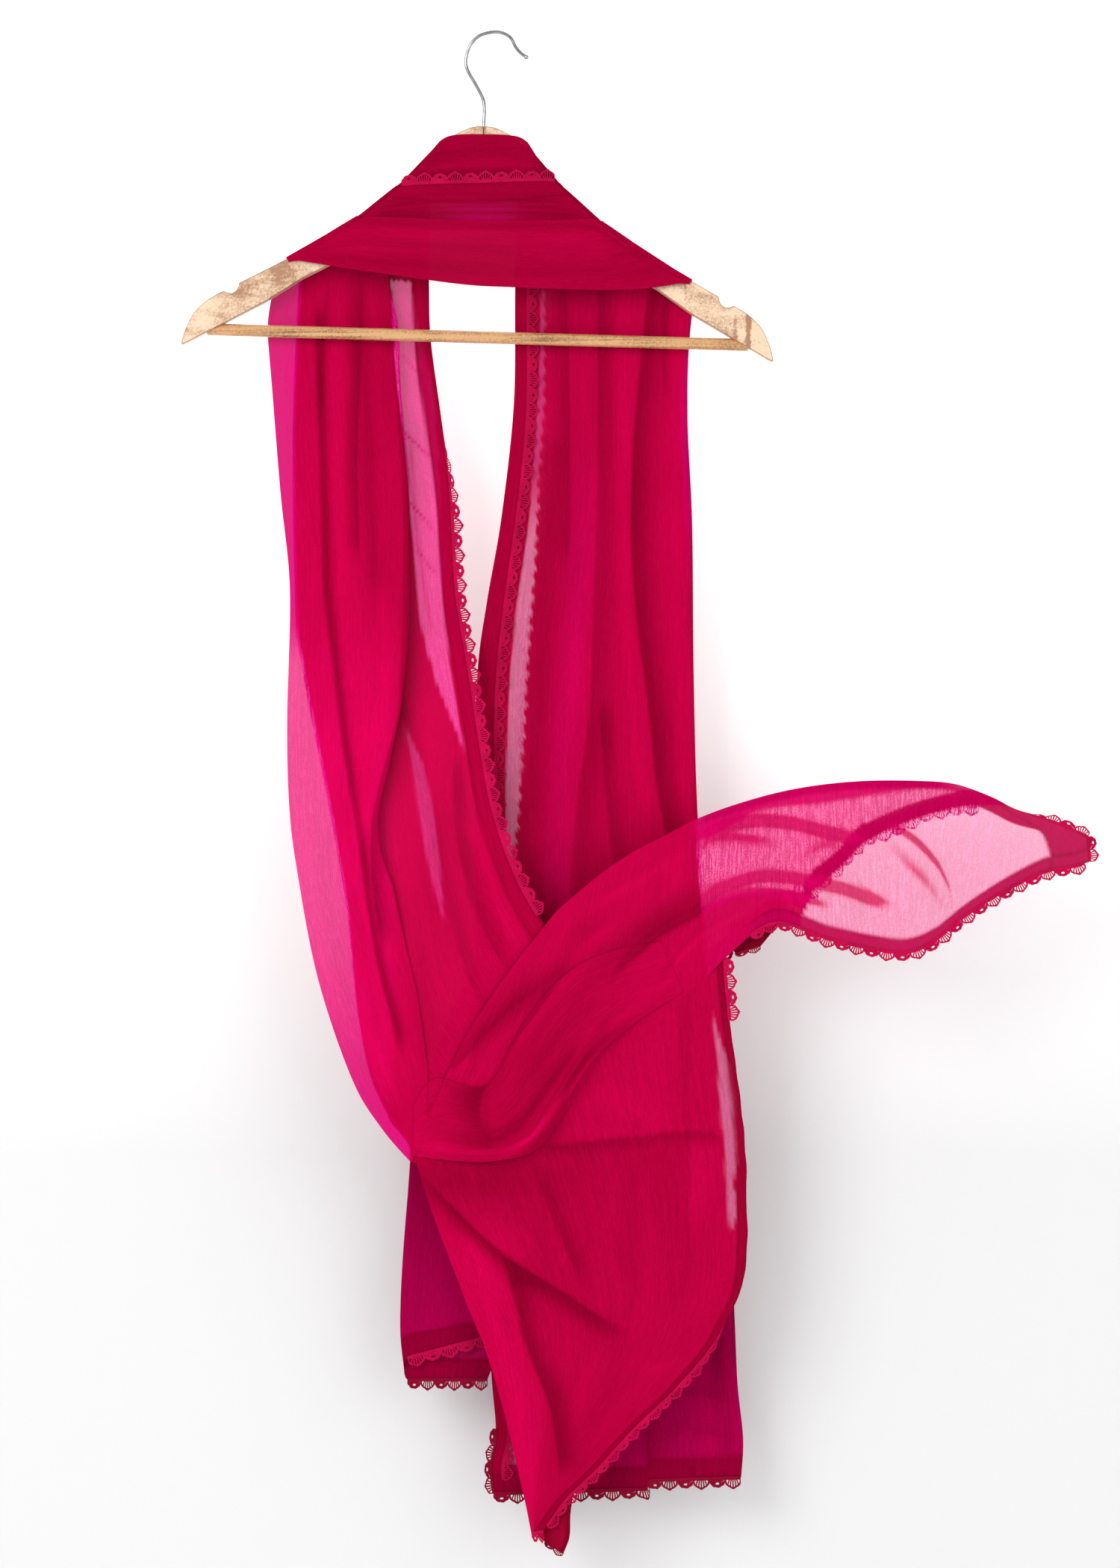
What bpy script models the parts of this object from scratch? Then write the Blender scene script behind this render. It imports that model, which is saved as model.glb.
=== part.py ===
# Dupatta stole hung over a wooden clothes hanger.
# Frame: +Z up, X to the viewer's right, Y away from the viewer.
# The origin is the inner side of the hook's crown, where a rail carries it.
# Every size below is in millimetres and is turned into metres when a mesh is made.

from collections import namedtuple
from math import cos, exp, hypot, pi, radians, sin

import bmesh
import bpy
from mathutils import Matrix, Vector
from mathutils.bvhtree import BVHTree

MM = 0.001
SEAM = 0.3
CLOTH_WALL = 1.3
LACE_WALL = 1.1
LACE_SEAM = 0.6
WRAP_DOWN = 4.0
LIES_ON = CLOTH_WALL + SEAM + 0.3

# Hanger sizes, in the hanger's own untilted frame
TILT = radians(1.67)
CENTRE_X = -5.8
CROWN_Z = -70.6
ARM_THICK = 13.0
ARM_ROUND = 1.4
BAR_DROP = 158.6
BAR_RADIUS = 4.65
BAR_HALF = 204.0
WIRE_RADIUS = 1.4
SHANK_SUNK = 14.0
BORE_CLEAR = 0.3

# Lace edging: how far it stands out, the length of one pair of scallops, and the
# share of the reach at each step of a pair: valley, round scallop, valley, pointed fan
LACE_REACH = 9.2
LACE_PAIR = 23.0
LACE_PROFILE = (0.55, 0.92, 0.55, 1.0)

# Distance between two layers of one fall, close under the bands and loose further down
LAYER_PITCH_TIGHT = 3.0
LAYER_PITCH_LOOSE = 6.0
REAR_PITCH_TIGHT = 3.2
REAR_PITCH_LOOSE = 5.0
TURN_ANGLES = (-45.0, 0.0, 45.0)

# Mesh steps
TOP_BAND_STEPS = 14
MIDDLE_BAND_STEPS = 18
LOWER_BAND_STEPS = 22
BAR_SIDES = 20
BORE_SIDES = 16
HOOK_STEPS = 36
WELD_METRES = 0.00001

COLOURS = {
    "cloth_band": (0.43, 0.0, 0.05, 1.0),
    "cloth_left": (0.66, 0.0, 0.09, 1.0),
    "cloth_right": (0.47, 0.0, 0.06, 1.0),
    "cloth_rear": (0.32, 0.0, 0.06, 1.0),
    "lace": (0.75, 0.0, 0.09, 1.0),
    "arm_wood": (0.73, 0.46, 0.28, 1.0),
    "bar_wood": (0.58, 0.30, 0.09, 1.0),
    "wire": (0.75, 0.75, 0.76, 1.0),
}

STOLE = "dupatta_stole"
CUTTERS = "cutters"


def table(columns, *rows):
    """Rows of numbers with named columns."""
    row_type = namedtuple("Row", columns)
    return [row_type(*row) for row in rows]


# Upper and lower edges of one hanger arm: across from the centre, drop below the crown
ARM_UPPER = table(
    "across drop",
    (0.15, 0.0), (8.0, 0.7), (20.0, 6.0), (35.0, 17.0), (60.0, 45.0), (90.0, 70.0),
    (115.0, 86.0), (145.6, 104.2), (180.7, 123.2),
)
ARM_NOTCH = table(
    "across drop",
    (181.6, 127.6), (185.0, 131.0), (189.5, 130.6),
)
ARM_END = table(
    "across drop",
    (192.6, 129.8), (203.0, 135.8), (213.0, 145.0), (219.6, 157.4), (222.7, 167.6),
    (221.5, 170.3),
)
ARM_LOWER = table(
    "across drop",
    (207.0, 162.5), (193.7, 155.3), (162.0, 137.7), (133.8, 118.8), (114.5, 108.4),
    (85.0, 88.0), (60.0, 68.0), (35.0, 50.0), (15.0, 42.0), (0.15, 40.0),
)

# Middle of the hook's wire, from the foot in the wood to the tip
HOOK_WIRE = table(
    "x z",
    (CENTRE_X, CROWN_Z - SHANK_SUNK), (CENTRE_X, CROWN_Z), (CENTRE_X, -56.0), (-7.4, -48.6),
    (-13.0, -38.5), (-19.2, -28.2), (-20.8, -20.3), (-17.9, -9.3), (-10.9, -1.7),
    (0.0, WIRE_RADIUS), (7.9, 0.2), (12.9, -3.2), (16.2, -9.1), (19.9, -13.5), (24.6, -16.8),
)

# Edges of the three bands across the front, from the left arm to the right arm
TOP_BAND_UPPER = table("x z", (-42.9, -83.1), (-32.1, -77.5), (-8.0, -76.6), (16.7, -78.0), (27.0, -84.0))
TOP_BAND_LOWER = table(
    "x z", (-77.0, -119.5), (-40.0, -123.5), (-10.0, -125.0), (20.0, -123.5), (49.0, -113.5))
MIDDLE_BAND_UPPER = table(
    "x z", (-79.0, -121.5), (-60.0, -120.5), (-10.0, -121.5), (35.0, -120.0), (54.0, -116.0))
MIDDLE_BAND_LOWER = table(
    "x z", (-107.0, -141.0), (-60.0, -148.0), (-5.0, -150.0), (45.0, -149.5), (82.0, -141.0))
LOWER_BAND_UPPER = table(
    "x z", (-102.5, -138.6), (-60.0, -140.5), (-1.9, -142.7), (50.0, -141.6), (80.0, -140.0))
LOWER_BAND_LOWER = table(
    "x z", (-156.3, -170.5), (-125.4, -175.6), (-79.4, -182.7), (-23.7, -190.4), (15.8, -192.6),
    (79.1, -194.3), (115.4, -193.0), (148.7, -187.5))

# Left fall: its inner hem and its outer fold, one row for each height measured
LEFT_INNER = table(
    "x z",
    (-46.5, -96.0), (-49.0, -145.0), (-49.6, -192.3), (-48.2, -230.6), (-40.6, -286.9),
    (-33.5, -339.1), (-31.0, -385.0), (-27.5, -430.0), (-19.0, -480.0), (-8.0, -550.0),
    (0.5, -590.0), (14.0, -629.0), (27.0, -655.0), (38.0, -672.0),
)
LEFT_OUTER = table(
    "x z",
    (-155.0, -174.5), (-160.5, -187.0), (-165.3, -200.4), (-171.3, -229.5), (-169.3, -252.7),
    (-161.3, -347.2), (-153.8, -421.7), (-155.6, -520.0), (-153.8, -583.8), (-147.7, -632.0),
    (-132.2, -711.8), (-106.3, -787.7), (-83.9, -824.7), (-62.4, -849.7),
)
# Where the left fall turns back on itself, as shares of its width from the hem
LEFT_TURNS = table(
    "down inner outer",
    (0.0, 0.26, 0.84), (0.25, 0.24, 0.78), (0.5, 0.28, 0.86), (0.75, 0.42, 0.74), (1.0, 0.45, 0.62),
)
LEFT_DEPTH = table(
    "z y",
    (-80.0, 9.6), (-215.0, 9.6), (-255.0, 8.6), (-340.0, 1.0), (-480.0, -14.0),
    (-670.0, -22.0), (-850.0, -27.0),
)

# Right fall: its left fold and its right fold, down to the rear hem
RIGHT_INNER = table(
    "x z",
    (26.0, -92.0), (19.0, -145.0), (16.3, -194.3), (15.4, -278.8), (6.3, -363.3),
    (-4.7, -427.5), (-11.8, -480.0), (-14.0, -560.0), (-13.0, -700.0), (-9.0, -850.0),
    (-3.0, -1000.0), (1.0, -1053.0), (-3.0, -1080.0), (-1.0, -1100.5),
)
RIGHT_OUTER = table(
    "x z",
    (146.0, -190.0), (149.4, -213.5), (144.2, -278.8), (147.1, -367.3), (148.1, -481.6),
    (151.2, -591.5), (159.4, -703.0), (170.6, -818.5), (178.0, -908.4), (181.6, -973.2),
    (183.8, -1022.2), (188.0, -1065.0), (186.5, -1095.0),
)
RIGHT_DEPTH = table(
    "z y",
    (-80.0, 9.6), (-215.0, 9.6), (-260.0, 9.4), (-480.0, 13.0), (-700.0, 16.0), (-1110.0, 21.0),
)
# How far the two rear hems of the right fall lie from its left fold
RIGHT_REAR_HEMS = table(
    "z first second",
    (-80.0, 10.0, 31.0), (-194.0, 12.0, 33.0), (-480.0, 19.0, 41.0), (-700.0, 22.0, 46.0),
    (-1110.0, 22.0, 46.0),
)

# The throw, from where it leaves the left fall to its tip: upper fold, lower hem and depths
THROW = table(
    "top_x top_z top_y low_x low_z low_y",
    (38.3, -672.0, -22.0, -62.2, -849.6, -27.0),
    (47.0, -661.5, -23.0, -35.0, -853.0, -27.5),
    (56.3, -653.2, -23.5, -4.0, -853.5, -28.0),
    (72.0, -640.0, -24.0, 30.0, -845.5, -28.5),
    (90.9, -625.6, -24.0, 55.0, -812.0, -28.5),
    (110.0, -614.0, -24.0, 80.0, -774.0, -28.0),
    (130.0, -603.8, -24.0, 116.0, -744.0, -27.0),
    (151.3, -592.6, -24.0, 150.0, -722.0, -27.0),
    (178.0, -582.4, -25.0, 172.0, -698.0, -28.0),
    (212.0, -572.6, -26.0, 209.0, -670.5, -30.0),
    (245.0, -566.6, -28.0, 250.0, -682.0, -34.0),
    (280.0, -563.6, -30.0, 286.0, -690.0, -40.0),
    (317.3, -563.6, -33.0, 309.0, -692.0, -44.0),
    (345.3, -566.0, -36.0, 329.0, -683.5, -45.0),
    (371.2, -575.1, -39.0, 351.0, -665.5, -45.0),
    (390.0, -584.6, -42.0, 379.0, -647.5, -46.0),
    (410.0, -590.6, -44.0, 411.0, -632.0, -48.0),
    (430.0, -598.5, -46.0, 432.0, -628.0, -49.0),
    (444.0, -605.0, -47.5, 445.0, -624.0, -50.0),
)
# The free layer behind the throw: its lower hem under the same upper fold
FLAP_LOW = table(
    "x z",
    (172.0, -690.0), (205.0, -666.0), (232.0, -650.0), (255.0, -630.0), (277.0, -608.0),
    (303.0, -598.0), (325.6, -587.5), (352.0, -583.0), (364.0, -583.5),
)
FLAP_SPAN = (0.44, 0.765)

# The front tail under the throw: left fold and right hem, a row for each level
TAIL = table(
    "left_x left_z right_x right_z y",
    (-62.2, -850.2, 171.5, -703.0, -27.0),
    (-50.0, -885.0, 177.5, -757.0, -24.0),
    (-36.0, -920.0, 187.0, -822.0, -19.0),
    (-20.0, -960.0, 190.0, -888.0, -14.0),
    (-8.8, -986.0, 188.0, -938.0, -11.0),
    (0.0, -1013.0, 168.0, -984.0, -9.0),
    (7.0, -1038.0, 138.0, -1021.0, -8.0),
    (13.4, -1064.0, 106.0, -1052.0, -8.0),
    (19.0, -1088.0, 76.0, -1084.0, -9.0),
    (24.0, -1110.0, 51.5, -1109.0, -10.0),
    (28.0, -1130.0, 37.0, -1128.5, -11.0),
)
TAIL_CURVED = 0.4
TAIL_LAPS = 0.97

# Rolled fold in front of the throw's root: upper ridge and lower ridge
SWAG_UPPER = table(
    "x z",
    (-60.0, -806.0), (-44.0, -787.0), (-6.3, -792.0), (17.9, -752.0), (36.8, -726.0),
    (60.0, -704.0), (92.0, -690.0), (125.0, -684.0),
)
SWAG_LOWER = table(
    "x z",
    (-61.0, -845.0), (-30.0, -848.5), (0.0, -848.5), (30.0, -840.0), (50.0, -812.0),
    (74.0, -773.0), (106.0, -745.0), (142.0, -722.0),
)

# Left part of the rear tail: a folded corner with two hems
REAR_LEFT = table(
    "left_x right_x z",
    (-12.0, 26.0, -700.0), (-40.0, 30.0, -760.0), (-58.0, 34.0, -820.0), (-64.0, 36.0, -880.0),
    (-68.0, 34.0, -935.0), (-69.0, 26.0, -975.0), (-66.0, 10.0, -1000.0),
)

# Long folds that stand out of a stretch: share across at three levels, height and width
FoldLine = namedtuple("FoldLine", "top middle bottom height width")
LEFT_FOLDS = [
    FoldLine(0.16, 0.18, 0.22, -2.7, 0.08),
    FoldLine(0.4, 0.44, 0.5, -3.7, 0.08),
    FoldLine(0.58, 0.6, 0.66, 3.4, 0.064),
    FoldLine(0.72, 0.74, 0.76, -4.1, 0.08),
    FoldLine(0.9, 0.9, 0.9, 2.7, 0.064),
]
RIGHT_FOLDS = [
    FoldLine(0.22, 0.24, 0.26, 2.7, 0.064),
    FoldLine(0.38, 0.4, 0.4, -3.7, 0.08),
    FoldLine(0.56, 0.58, 0.55, 3.7, 0.064),
    FoldLine(0.74, 0.75, 0.74, -4.1, 0.08),
    FoldLine(0.88, 0.88, 0.88, 2.5, 0.064),
]
THROW_FOLDS = [
    FoldLine(0.30, 0.30, 0.42, -5.0, 0.06),
    FoldLine(0.52, 0.50, 0.60, 3.5, 0.06),
    FoldLine(0.66, 0.70, 0.78, -5.0, 0.07),
]
TAIL_FOLDS = [
    FoldLine(0.12, 0.22, 0.45, -5.0, 0.07),
    FoldLine(0.30, 0.45, 0.70, 3.5, 0.08),
    FoldLine(0.55, 0.66, 0.75, -3.0, 0.09),
    FoldLine(0.82, 0.86, 0.88, 2.0, 0.07),
]


def clear_scene():
    for leftover in list(bpy.data.objects):
        bpy.data.objects.remove(leftover, do_unlink=True)
    for name in (STOLE, CUTTERS):
        group = bpy.data.collections.new(name)
        bpy.context.scene.collection.children.link(group)


def material(name, colour, roughness, metallic=0.0):
    finish = bpy.data.materials.new(name)
    finish.use_nodes = True
    shader = finish.node_tree.nodes["Principled BSDF"]
    shader.inputs["Base Color"].default_value = COLOURS[colour]
    shader.inputs["Roughness"].default_value = roughness
    shader.inputs["Metallic"].default_value = metallic
    return finish


def place(name, data, finish, group=STOLE):
    piece = bpy.data.objects.new(name, data)
    if finish:
        data.materials.append(finish)
    bpy.data.collections[group].objects.link(piece)
    return piece


def catmull(before, start, end, after, share):
    """Smooth blend between start and end, led by the rows around them."""
    square = share * share
    cube = square * share
    return 0.5 * (
        2.0 * start
        + (end - before) * share
        + (2.0 * before - 5.0 * start + 4.0 * end - after) * square
        + (3.0 * start - before - 3.0 * end + after) * cube
    )


def smooth_row(rows, position):
    """Values of a table at a position counted in rows."""
    last = len(rows) - 1
    position = min(max(position, 0.0), float(last))
    index = min(int(position), last - 1)
    share = position - index
    around = [rows[min(max(index + step, 0), last)] for step in (-1, 0, 1, 2)]
    return [catmull(*values, share) for values in zip(*around)]


def edge_position(rows, share):
    """Row position at a share of the edge's length."""
    lengths = [hypot(b.x - a.x, b.z - a.z) for a, b in zip(rows, rows[1:])]
    target = share * sum(lengths)
    for index, length in enumerate(lengths):
        if target <= length or index == len(lengths) - 1:
            return index + min(target / length, 1.0)
        target -= length


def edge_point(rows, share):
    """Point (x, z) of a smooth edge at a share of its length."""
    return Vector(smooth_row(rows, edge_position(rows, share)))


def read_at(rows, key):
    """Straight interpolation on a table's first column, which runs downwards or upwards."""
    rising = rows[-1][0] > rows[0][0]
    ordered = rows if rising else rows[::-1]
    if key <= ordered[0][0]:
        return ordered[0][1:]
    for low, high in zip(ordered, ordered[1:]):
        if key <= high[0]:
            share = (key - low[0]) / (high[0] - low[0])
            share = share * share * (3.0 - 2.0 * share)
            return tuple(a + (b - a) * share for a, b in zip(low[1:], high[1:]))
    return ordered[-1][1:]


def blend(start, end, share):
    return start + (end - start) * share


def clamp(value):
    return min(max(value, 0.0), 1.0)


def fold_relief(folds, across, down):
    """Depth that the long folds add at a place, negative towards the viewer."""
    relief = 0.0
    for fold in folds:
        if down < 0.5:
            middle = blend(fold.top, fold.middle, down * 2.0)
        else:
            middle = blend(fold.middle, fold.bottom, down * 2.0 - 1.0)
        relief += fold.height * exp(-(((across - middle) / fold.width) ** 2))
    return relief


def arm_top(x):
    """World height of the tilted hanger's top edge at a world x, and its outward normal."""
    points = []
    for mirror in (-1, 1):
        for row in ARM_UPPER:
            own_x = CENTRE_X + mirror * row.across
            own_z = CROWN_Z - row.drop
            points.append((own_x * cos(TILT) + own_z * sin(TILT), own_z * cos(TILT) - own_x * sin(TILT)))
    points.sort()
    for start, end in zip(points, points[1:]):
        if x <= end[0] or end is points[-1]:
            slope = (end[1] - start[1]) / max(end[0] - start[0], 0.01)
            height = start[1] + slope * (x - start[0])
            normal = Vector((-slope, 1.0)).normalized()
            return height, normal


def sheet(name, grid, finish, wall=CLOTH_WALL):
    """One wall of cloth over a grid of points, with its thickness half to each side."""
    surface = bmesh.new()
    rows = [[surface.verts.new(point * MM) for point in row] for row in grid]
    for upper, lower in zip(rows, rows[1:]):
        for index in range(len(upper) - 1):
            surface.faces.new((upper[index], upper[index + 1], lower[index + 1], lower[index]))
    data = bpy.data.meshes.new(name)
    surface.to_mesh(data)
    surface.free()
    piece = place(name, data, finish)
    data.shade_smooth()
    thickness = piece.modifiers.new("wall", "SOLIDIFY")
    thickness.thickness = wall * MM
    thickness.offset = 0.0
    thickness.use_rim = True
    thickness.use_quality_normals = True


def skin_of(*grids):
    """Search tree over the middle surfaces of sheets, in millimetres."""
    points = []
    faces = []
    for grid in grids:
        base = len(points)
        width = len(grid[0])
        points.extend(point for row in grid for point in row)
        for down in range(len(grid) - 1):
            for across in range(width - 1):
                corner = base + down * width + across
                faces.append((corner, corner + 1, corner + width + 1, corner + width))
    return BVHTree.FromPolygons(points, faces)


def front_depth(skin, x, z):
    """Depth of the nearest cloth to the viewer at a place, or of the cloth beside it."""
    hit = skin.ray_cast(Vector((x, -200.0, z)), Vector((0.0, 1.0, 0.0)))[0]
    if hit is None:
        hit = skin.find_nearest(Vector((x, -30.0, z)))[0]
    return hit.y


def section_path(runs, pitch, points_in_run):
    """A section's stops as (share across, depth): flat runs joined by round turns.

    A run is (start share, end share, layer). Each turn is a half circle between two layers,
    given as a sideways reach to be added at that place.
    """
    stops = []
    for number, (start, end, layer) in enumerate(runs):
        steps = points_in_run[number]
        for index in range(steps + 1):
            stops.append((blend(start, end, index / steps), 0.0, layer * pitch))
        if number + 1 < len(runs):
            next_layer = runs[number + 1][2]
            way = 1.0 if end > start else -1.0
            middle = (layer + next_layer) / 2.0 * pitch
            radius = abs(next_layer - layer) * pitch / 2.0
            rise = 1.0 if next_layer > layer else -1.0
            for angle in TURN_ANGLES:
                turn = radians(angle)
                stops.append((end, way * radius * cos(turn), middle + rise * radius * sin(turn)))
    return stops


def lace(name, edge, inside, finish, start=0.0, end=1.0):
    """Scalloped edging along an edge of a sheet, standing out from it in its own plane."""
    lengths = [0.0]
    for a, b in zip(edge, edge[1:]):
        lengths.append(lengths[-1] + (b - a).length)
    total = lengths[-1]

    def at(distance):
        for index in range(len(edge) - 1):
            if distance <= lengths[index + 1] or index == len(edge) - 2:
                share = clamp((distance - lengths[index]) / (lengths[index + 1] - lengths[index]))
                point = edge[index].lerp(edge[index + 1], share)
                inner = inside[index].lerp(inside[index + 1], share)
                along = (edge[index + 1] - edge[index]).normalized()
                out = point - inner
                out -= along * out.dot(along)
                return point, out.normalized()

    from_distance = start * total
    span = (end - start) * total
    pairs = max(1, round(span / LACE_PAIR))
    steps = pairs * len(LACE_PROFILE)
    grid = [[], []]
    for index in range(steps + 1):
        point, out = at(from_distance + span * index / steps)
        reach = LACE_REACH * LACE_PROFILE[index % len(LACE_PROFILE)]
        grid[0].append(point + out * LACE_SEAM)
        grid[1].append(point + out * (LACE_SEAM + reach))
    sheet(name, grid, finish, LACE_WALL)


def arm_outline():
    """One arm's closed outline, from the crown round the end and back to the middle."""
    rows = ARM_UPPER + ARM_NOTCH + ARM_END + ARM_LOWER
    return [(row.across, -row.drop) for row in rows]


def hanger_arm(name, mirror, frame, finish):
    outline = bpy.data.curves.new(name, "CURVE")
    outline.dimensions = "2D"
    outline.fill_mode = "BOTH"
    outline.extrude = ARM_THICK / 2.0 * MM
    spline = outline.splines.new("POLY")
    points = arm_outline()
    spline.points.add(len(points) - 1)
    for target, (across, height) in zip(spline.points, points):
        target.co = (mirror * across * MM, height * MM, 0.0, 1.0)
    spline.use_cyclic_u = True
    flat = bpy.data.objects.new(name + "_outline", outline)
    bpy.data.collections[STOLE].objects.link(flat)
    bpy.context.view_layer.update()
    evaluated = flat.evaluated_get(bpy.context.evaluated_depsgraph_get())
    data = bpy.data.meshes.new_from_object(evaluated)
    bpy.data.objects.remove(flat, do_unlink=True)
    upright = Matrix.Rotation(radians(90.0), 4, "X")
    data.transform(Matrix.Translation((CENTRE_X * MM, 0.0, CROWN_Z * MM)) @ upright)
    body = bmesh.new()
    body.from_mesh(data)
    bmesh.ops.remove_doubles(body, verts=body.verts, dist=WELD_METRES)
    bmesh.ops.recalc_face_normals(body, faces=body.faces)
    body.to_mesh(data)
    body.free()
    data.materials.clear()
    data.name = name
    piece = place(name, data, finish)
    piece.parent = frame
    edges = piece.modifiers.new("rounded edges", "BEVEL")
    edges.width = ARM_ROUND * MM
    edges.segments = 2
    edges.limit_method = "ANGLE"
    edges.angle_limit = radians(60.0)
    return piece


def rod(name, start, end, radius, sides, finish, group=STOLE):
    """A straight round piece between two points of the hanger's own frame."""
    middle = (start + end) / 2.0
    along = end - start
    shape = bmesh.new()
    bmesh.ops.create_cone(
        shape, cap_ends=True, segments=sides, radius1=radius * MM, radius2=radius * MM,
        depth=along.length * MM)
    data = bpy.data.meshes.new(name)
    shape.to_mesh(data)
    shape.free()
    turn = along.to_track_quat("Z", "Y").to_matrix().to_4x4()
    data.transform(Matrix.Translation(middle * MM) @ turn)
    data.shade_smooth()
    data.set_sharp_from_angle(angle=radians(40.0))
    return place(name, data, finish, group)


def cut(piece, cutter):
    cutter.hide_render = True
    cutter.display_type = "WIRE"
    hollow = piece.modifiers.new("cut " + cutter.name, "BOOLEAN")
    hollow.operation = "DIFFERENCE"
    hollow.object = cutter


def hook(frame, finish):
    wire = bpy.data.curves.new("hook", "CURVE")
    wire.dimensions = "3D"
    wire.bevel_depth = WIRE_RADIUS * MM
    wire.bevel_resolution = 2
    wire.use_fill_caps = True
    spline = wire.splines.new("POLY")
    spline.points.add(HOOK_STEPS)
    for index, target in enumerate(spline.points):
        point = edge_point(HOOK_WIRE, index / HOOK_STEPS)
        target.co = (point.x * MM, 0.0, point.y * MM, 1.0)
    piece = place("hook", wire, finish)
    piece.parent = frame
    return piece


def hanger():
    frame = bpy.data.objects.new("hanger_frame", None)
    bpy.data.collections[STOLE].objects.link(frame)
    frame.rotation_euler.y = TILT
    arm_finish = material("arm_wood", "arm_wood", 0.5)
    bar_finish = material("bar_wood", "bar_wood", 0.3)
    wire_finish = material("wire", "wire", 0.15, 1.0)
    bar_z = CROWN_Z - BAR_DROP
    bar_start = Vector((CENTRE_X - BAR_HALF, 0.0, bar_z))
    bar_end = Vector((CENTRE_X + BAR_HALF, 0.0, bar_z))
    bar = rod("hanger_bar", bar_start, bar_end, BAR_RADIUS, BAR_SIDES, bar_finish)
    bar.parent = frame
    past = Vector((BORE_CLEAR, 0.0, 0.0))
    wide = BAR_RADIUS + BORE_CLEAR
    socket = rod("bar_socket", bar_start - past, bar_end + past, wide, BAR_SIDES, None, CUTTERS)
    socket.parent = frame
    foot = Vector((CENTRE_X, 0.0, CROWN_Z - SHANK_SUNK - BORE_CLEAR))
    mouth = Vector((CENTRE_X, 0.0, CROWN_Z + SHANK_SUNK))
    bore = rod("shank_bore", foot, mouth, WIRE_RADIUS + BORE_CLEAR, BORE_SIDES, None, CUTTERS)
    bore.parent = frame
    for name, mirror in (("hanger_arm_left", -1.0), ("hanger_arm_right", 1.0)):
        arm = hanger_arm(name, mirror, frame, arm_finish)
        cut(arm, socket)
        cut(arm, bore)
    hook(frame, wire_finish)


# How a band's rows stand off the wood at the arms, and where they hang in the middle
BandRow = namedtuple("BandRow", "share lift front")


def band(name, upper, lower, rows, finish, across_steps):
    """A band across the front whose ends go over the arms' tops to the back."""
    face = ARM_THICK / 2.0
    grid = []
    for row in rows:
        points = []
        ends = []
        for share in [index / across_steps for index in range(across_steps + 1)]:
            high = edge_point(upper, share)
            low = edge_point(lower, share)
            points.append((high.lerp(low, row.share), share))
        lift = SEAM + CLOTH_WALL / 2.0 + row.lift
        line = []
        for side in (0, -1):
            place_x = points[side][0].x
            height, normal = arm_top(place_x)
            foot = Vector((place_x, 0.0, height))
            out = Vector((normal.x, 0.0, normal.y))
            stops = (
                (face + lift + 0.1, -WRAP_DOWN),
                (face + lift * 0.7, lift * 0.9 + 0.25),
                (0.0, lift + 0.5),
                (-(face + lift * 0.7), lift * 0.9 + 0.25),
                (-(face + lift + 0.1), -3.0),
            )
            ends.append([foot + out * rise + Vector((0.0, depth, 0.0)) for depth, rise in stops])
        for point, share in points[1:-1]:
            belly = blend(face + lift + 0.1, row.front, sin(pi * share) ** 0.6)
            line.append(Vector((point.x, -belly, point.y)))
        grid.append(ends[0] + line + ends[1][::-1])
    sheet(name, grid, finish)
    return grid


def bands(finish, lace_finish):
    top_rows = [
        BandRow(0.0, 0.0, 8.0), BandRow(0.33, 0.1, 9.0), BandRow(0.66, 0.2, 9.6), BandRow(1.0, 0.2, 10.0)]
    middle_rows = [
        BandRow(0.0, 2.4, 12.2), BandRow(0.3, 2.1, 13.0), BandRow(0.65, 0.6, 12.4), BandRow(1.0, 0.1, 12.2)]
    lower_rows = [
        BandRow(0.0, 2.9, 15.6), BandRow(0.25, 2.7, 16.6), BandRow(0.5, 1.3, 17.4),
        BandRow(0.75, 0.4, 17.0), BandRow(1.0, 0.1, 15.6)]
    band("band_top", TOP_BAND_UPPER, TOP_BAND_LOWER, top_rows, finish, TOP_BAND_STEPS)
    middle = band("band_middle", MIDDLE_BAND_UPPER, MIDDLE_BAND_LOWER, middle_rows, finish, MIDDLE_BAND_STEPS)
    band("band_lower", LOWER_BAND_UPPER, LOWER_BAND_LOWER, lower_rows, finish, LOWER_BAND_STEPS)
    wrap = 5
    lace("lace_band_middle", middle[0][wrap:-wrap], middle[1][wrap:-wrap], lace_finish)


def fall_grid(inner, outer, down_steps, runs_at, counts, depth, folds):
    """Grid of a fall that turns back on itself between its inner and outer edges."""
    grid = []
    for index in range(down_steps + 1):
        down = index / down_steps
        near = edge_point(inner, down)
        far = edge_point(outer, down)
        loose = clamp(down * 5.0)
        pitch = blend(LAYER_PITCH_TIGHT, LAYER_PITCH_LOOSE, loose)
        width = max((far - near).length, 1.0)
        row = []
        for share, reach, layer_depth in section_path(runs_at(down, near, width), pitch, counts):
            across = near.lerp(far, share)
            sideways = (far - near).normalized() * reach
            x = across.x + sideways.x
            z = across.y + sideways.y
            height, normal = arm_top(x)
            top_z = height - (WRAP_DOWN + SEAM + 0.3) / normal.y
            z = blend(top_z, z, clamp(down * 9.0))
            front = read_at(depth, z)[0]
            ease = blend(0.25, 1.0, clamp((down - 0.15) * 5.0)) * blend(1.0, 0.15, clamp((down - 0.85) * 7.0))
            row.append(Vector((x, front + layer_depth + fold_relief(folds, share, down) * ease, z)))
        grid.append(row)
    return grid


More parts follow.
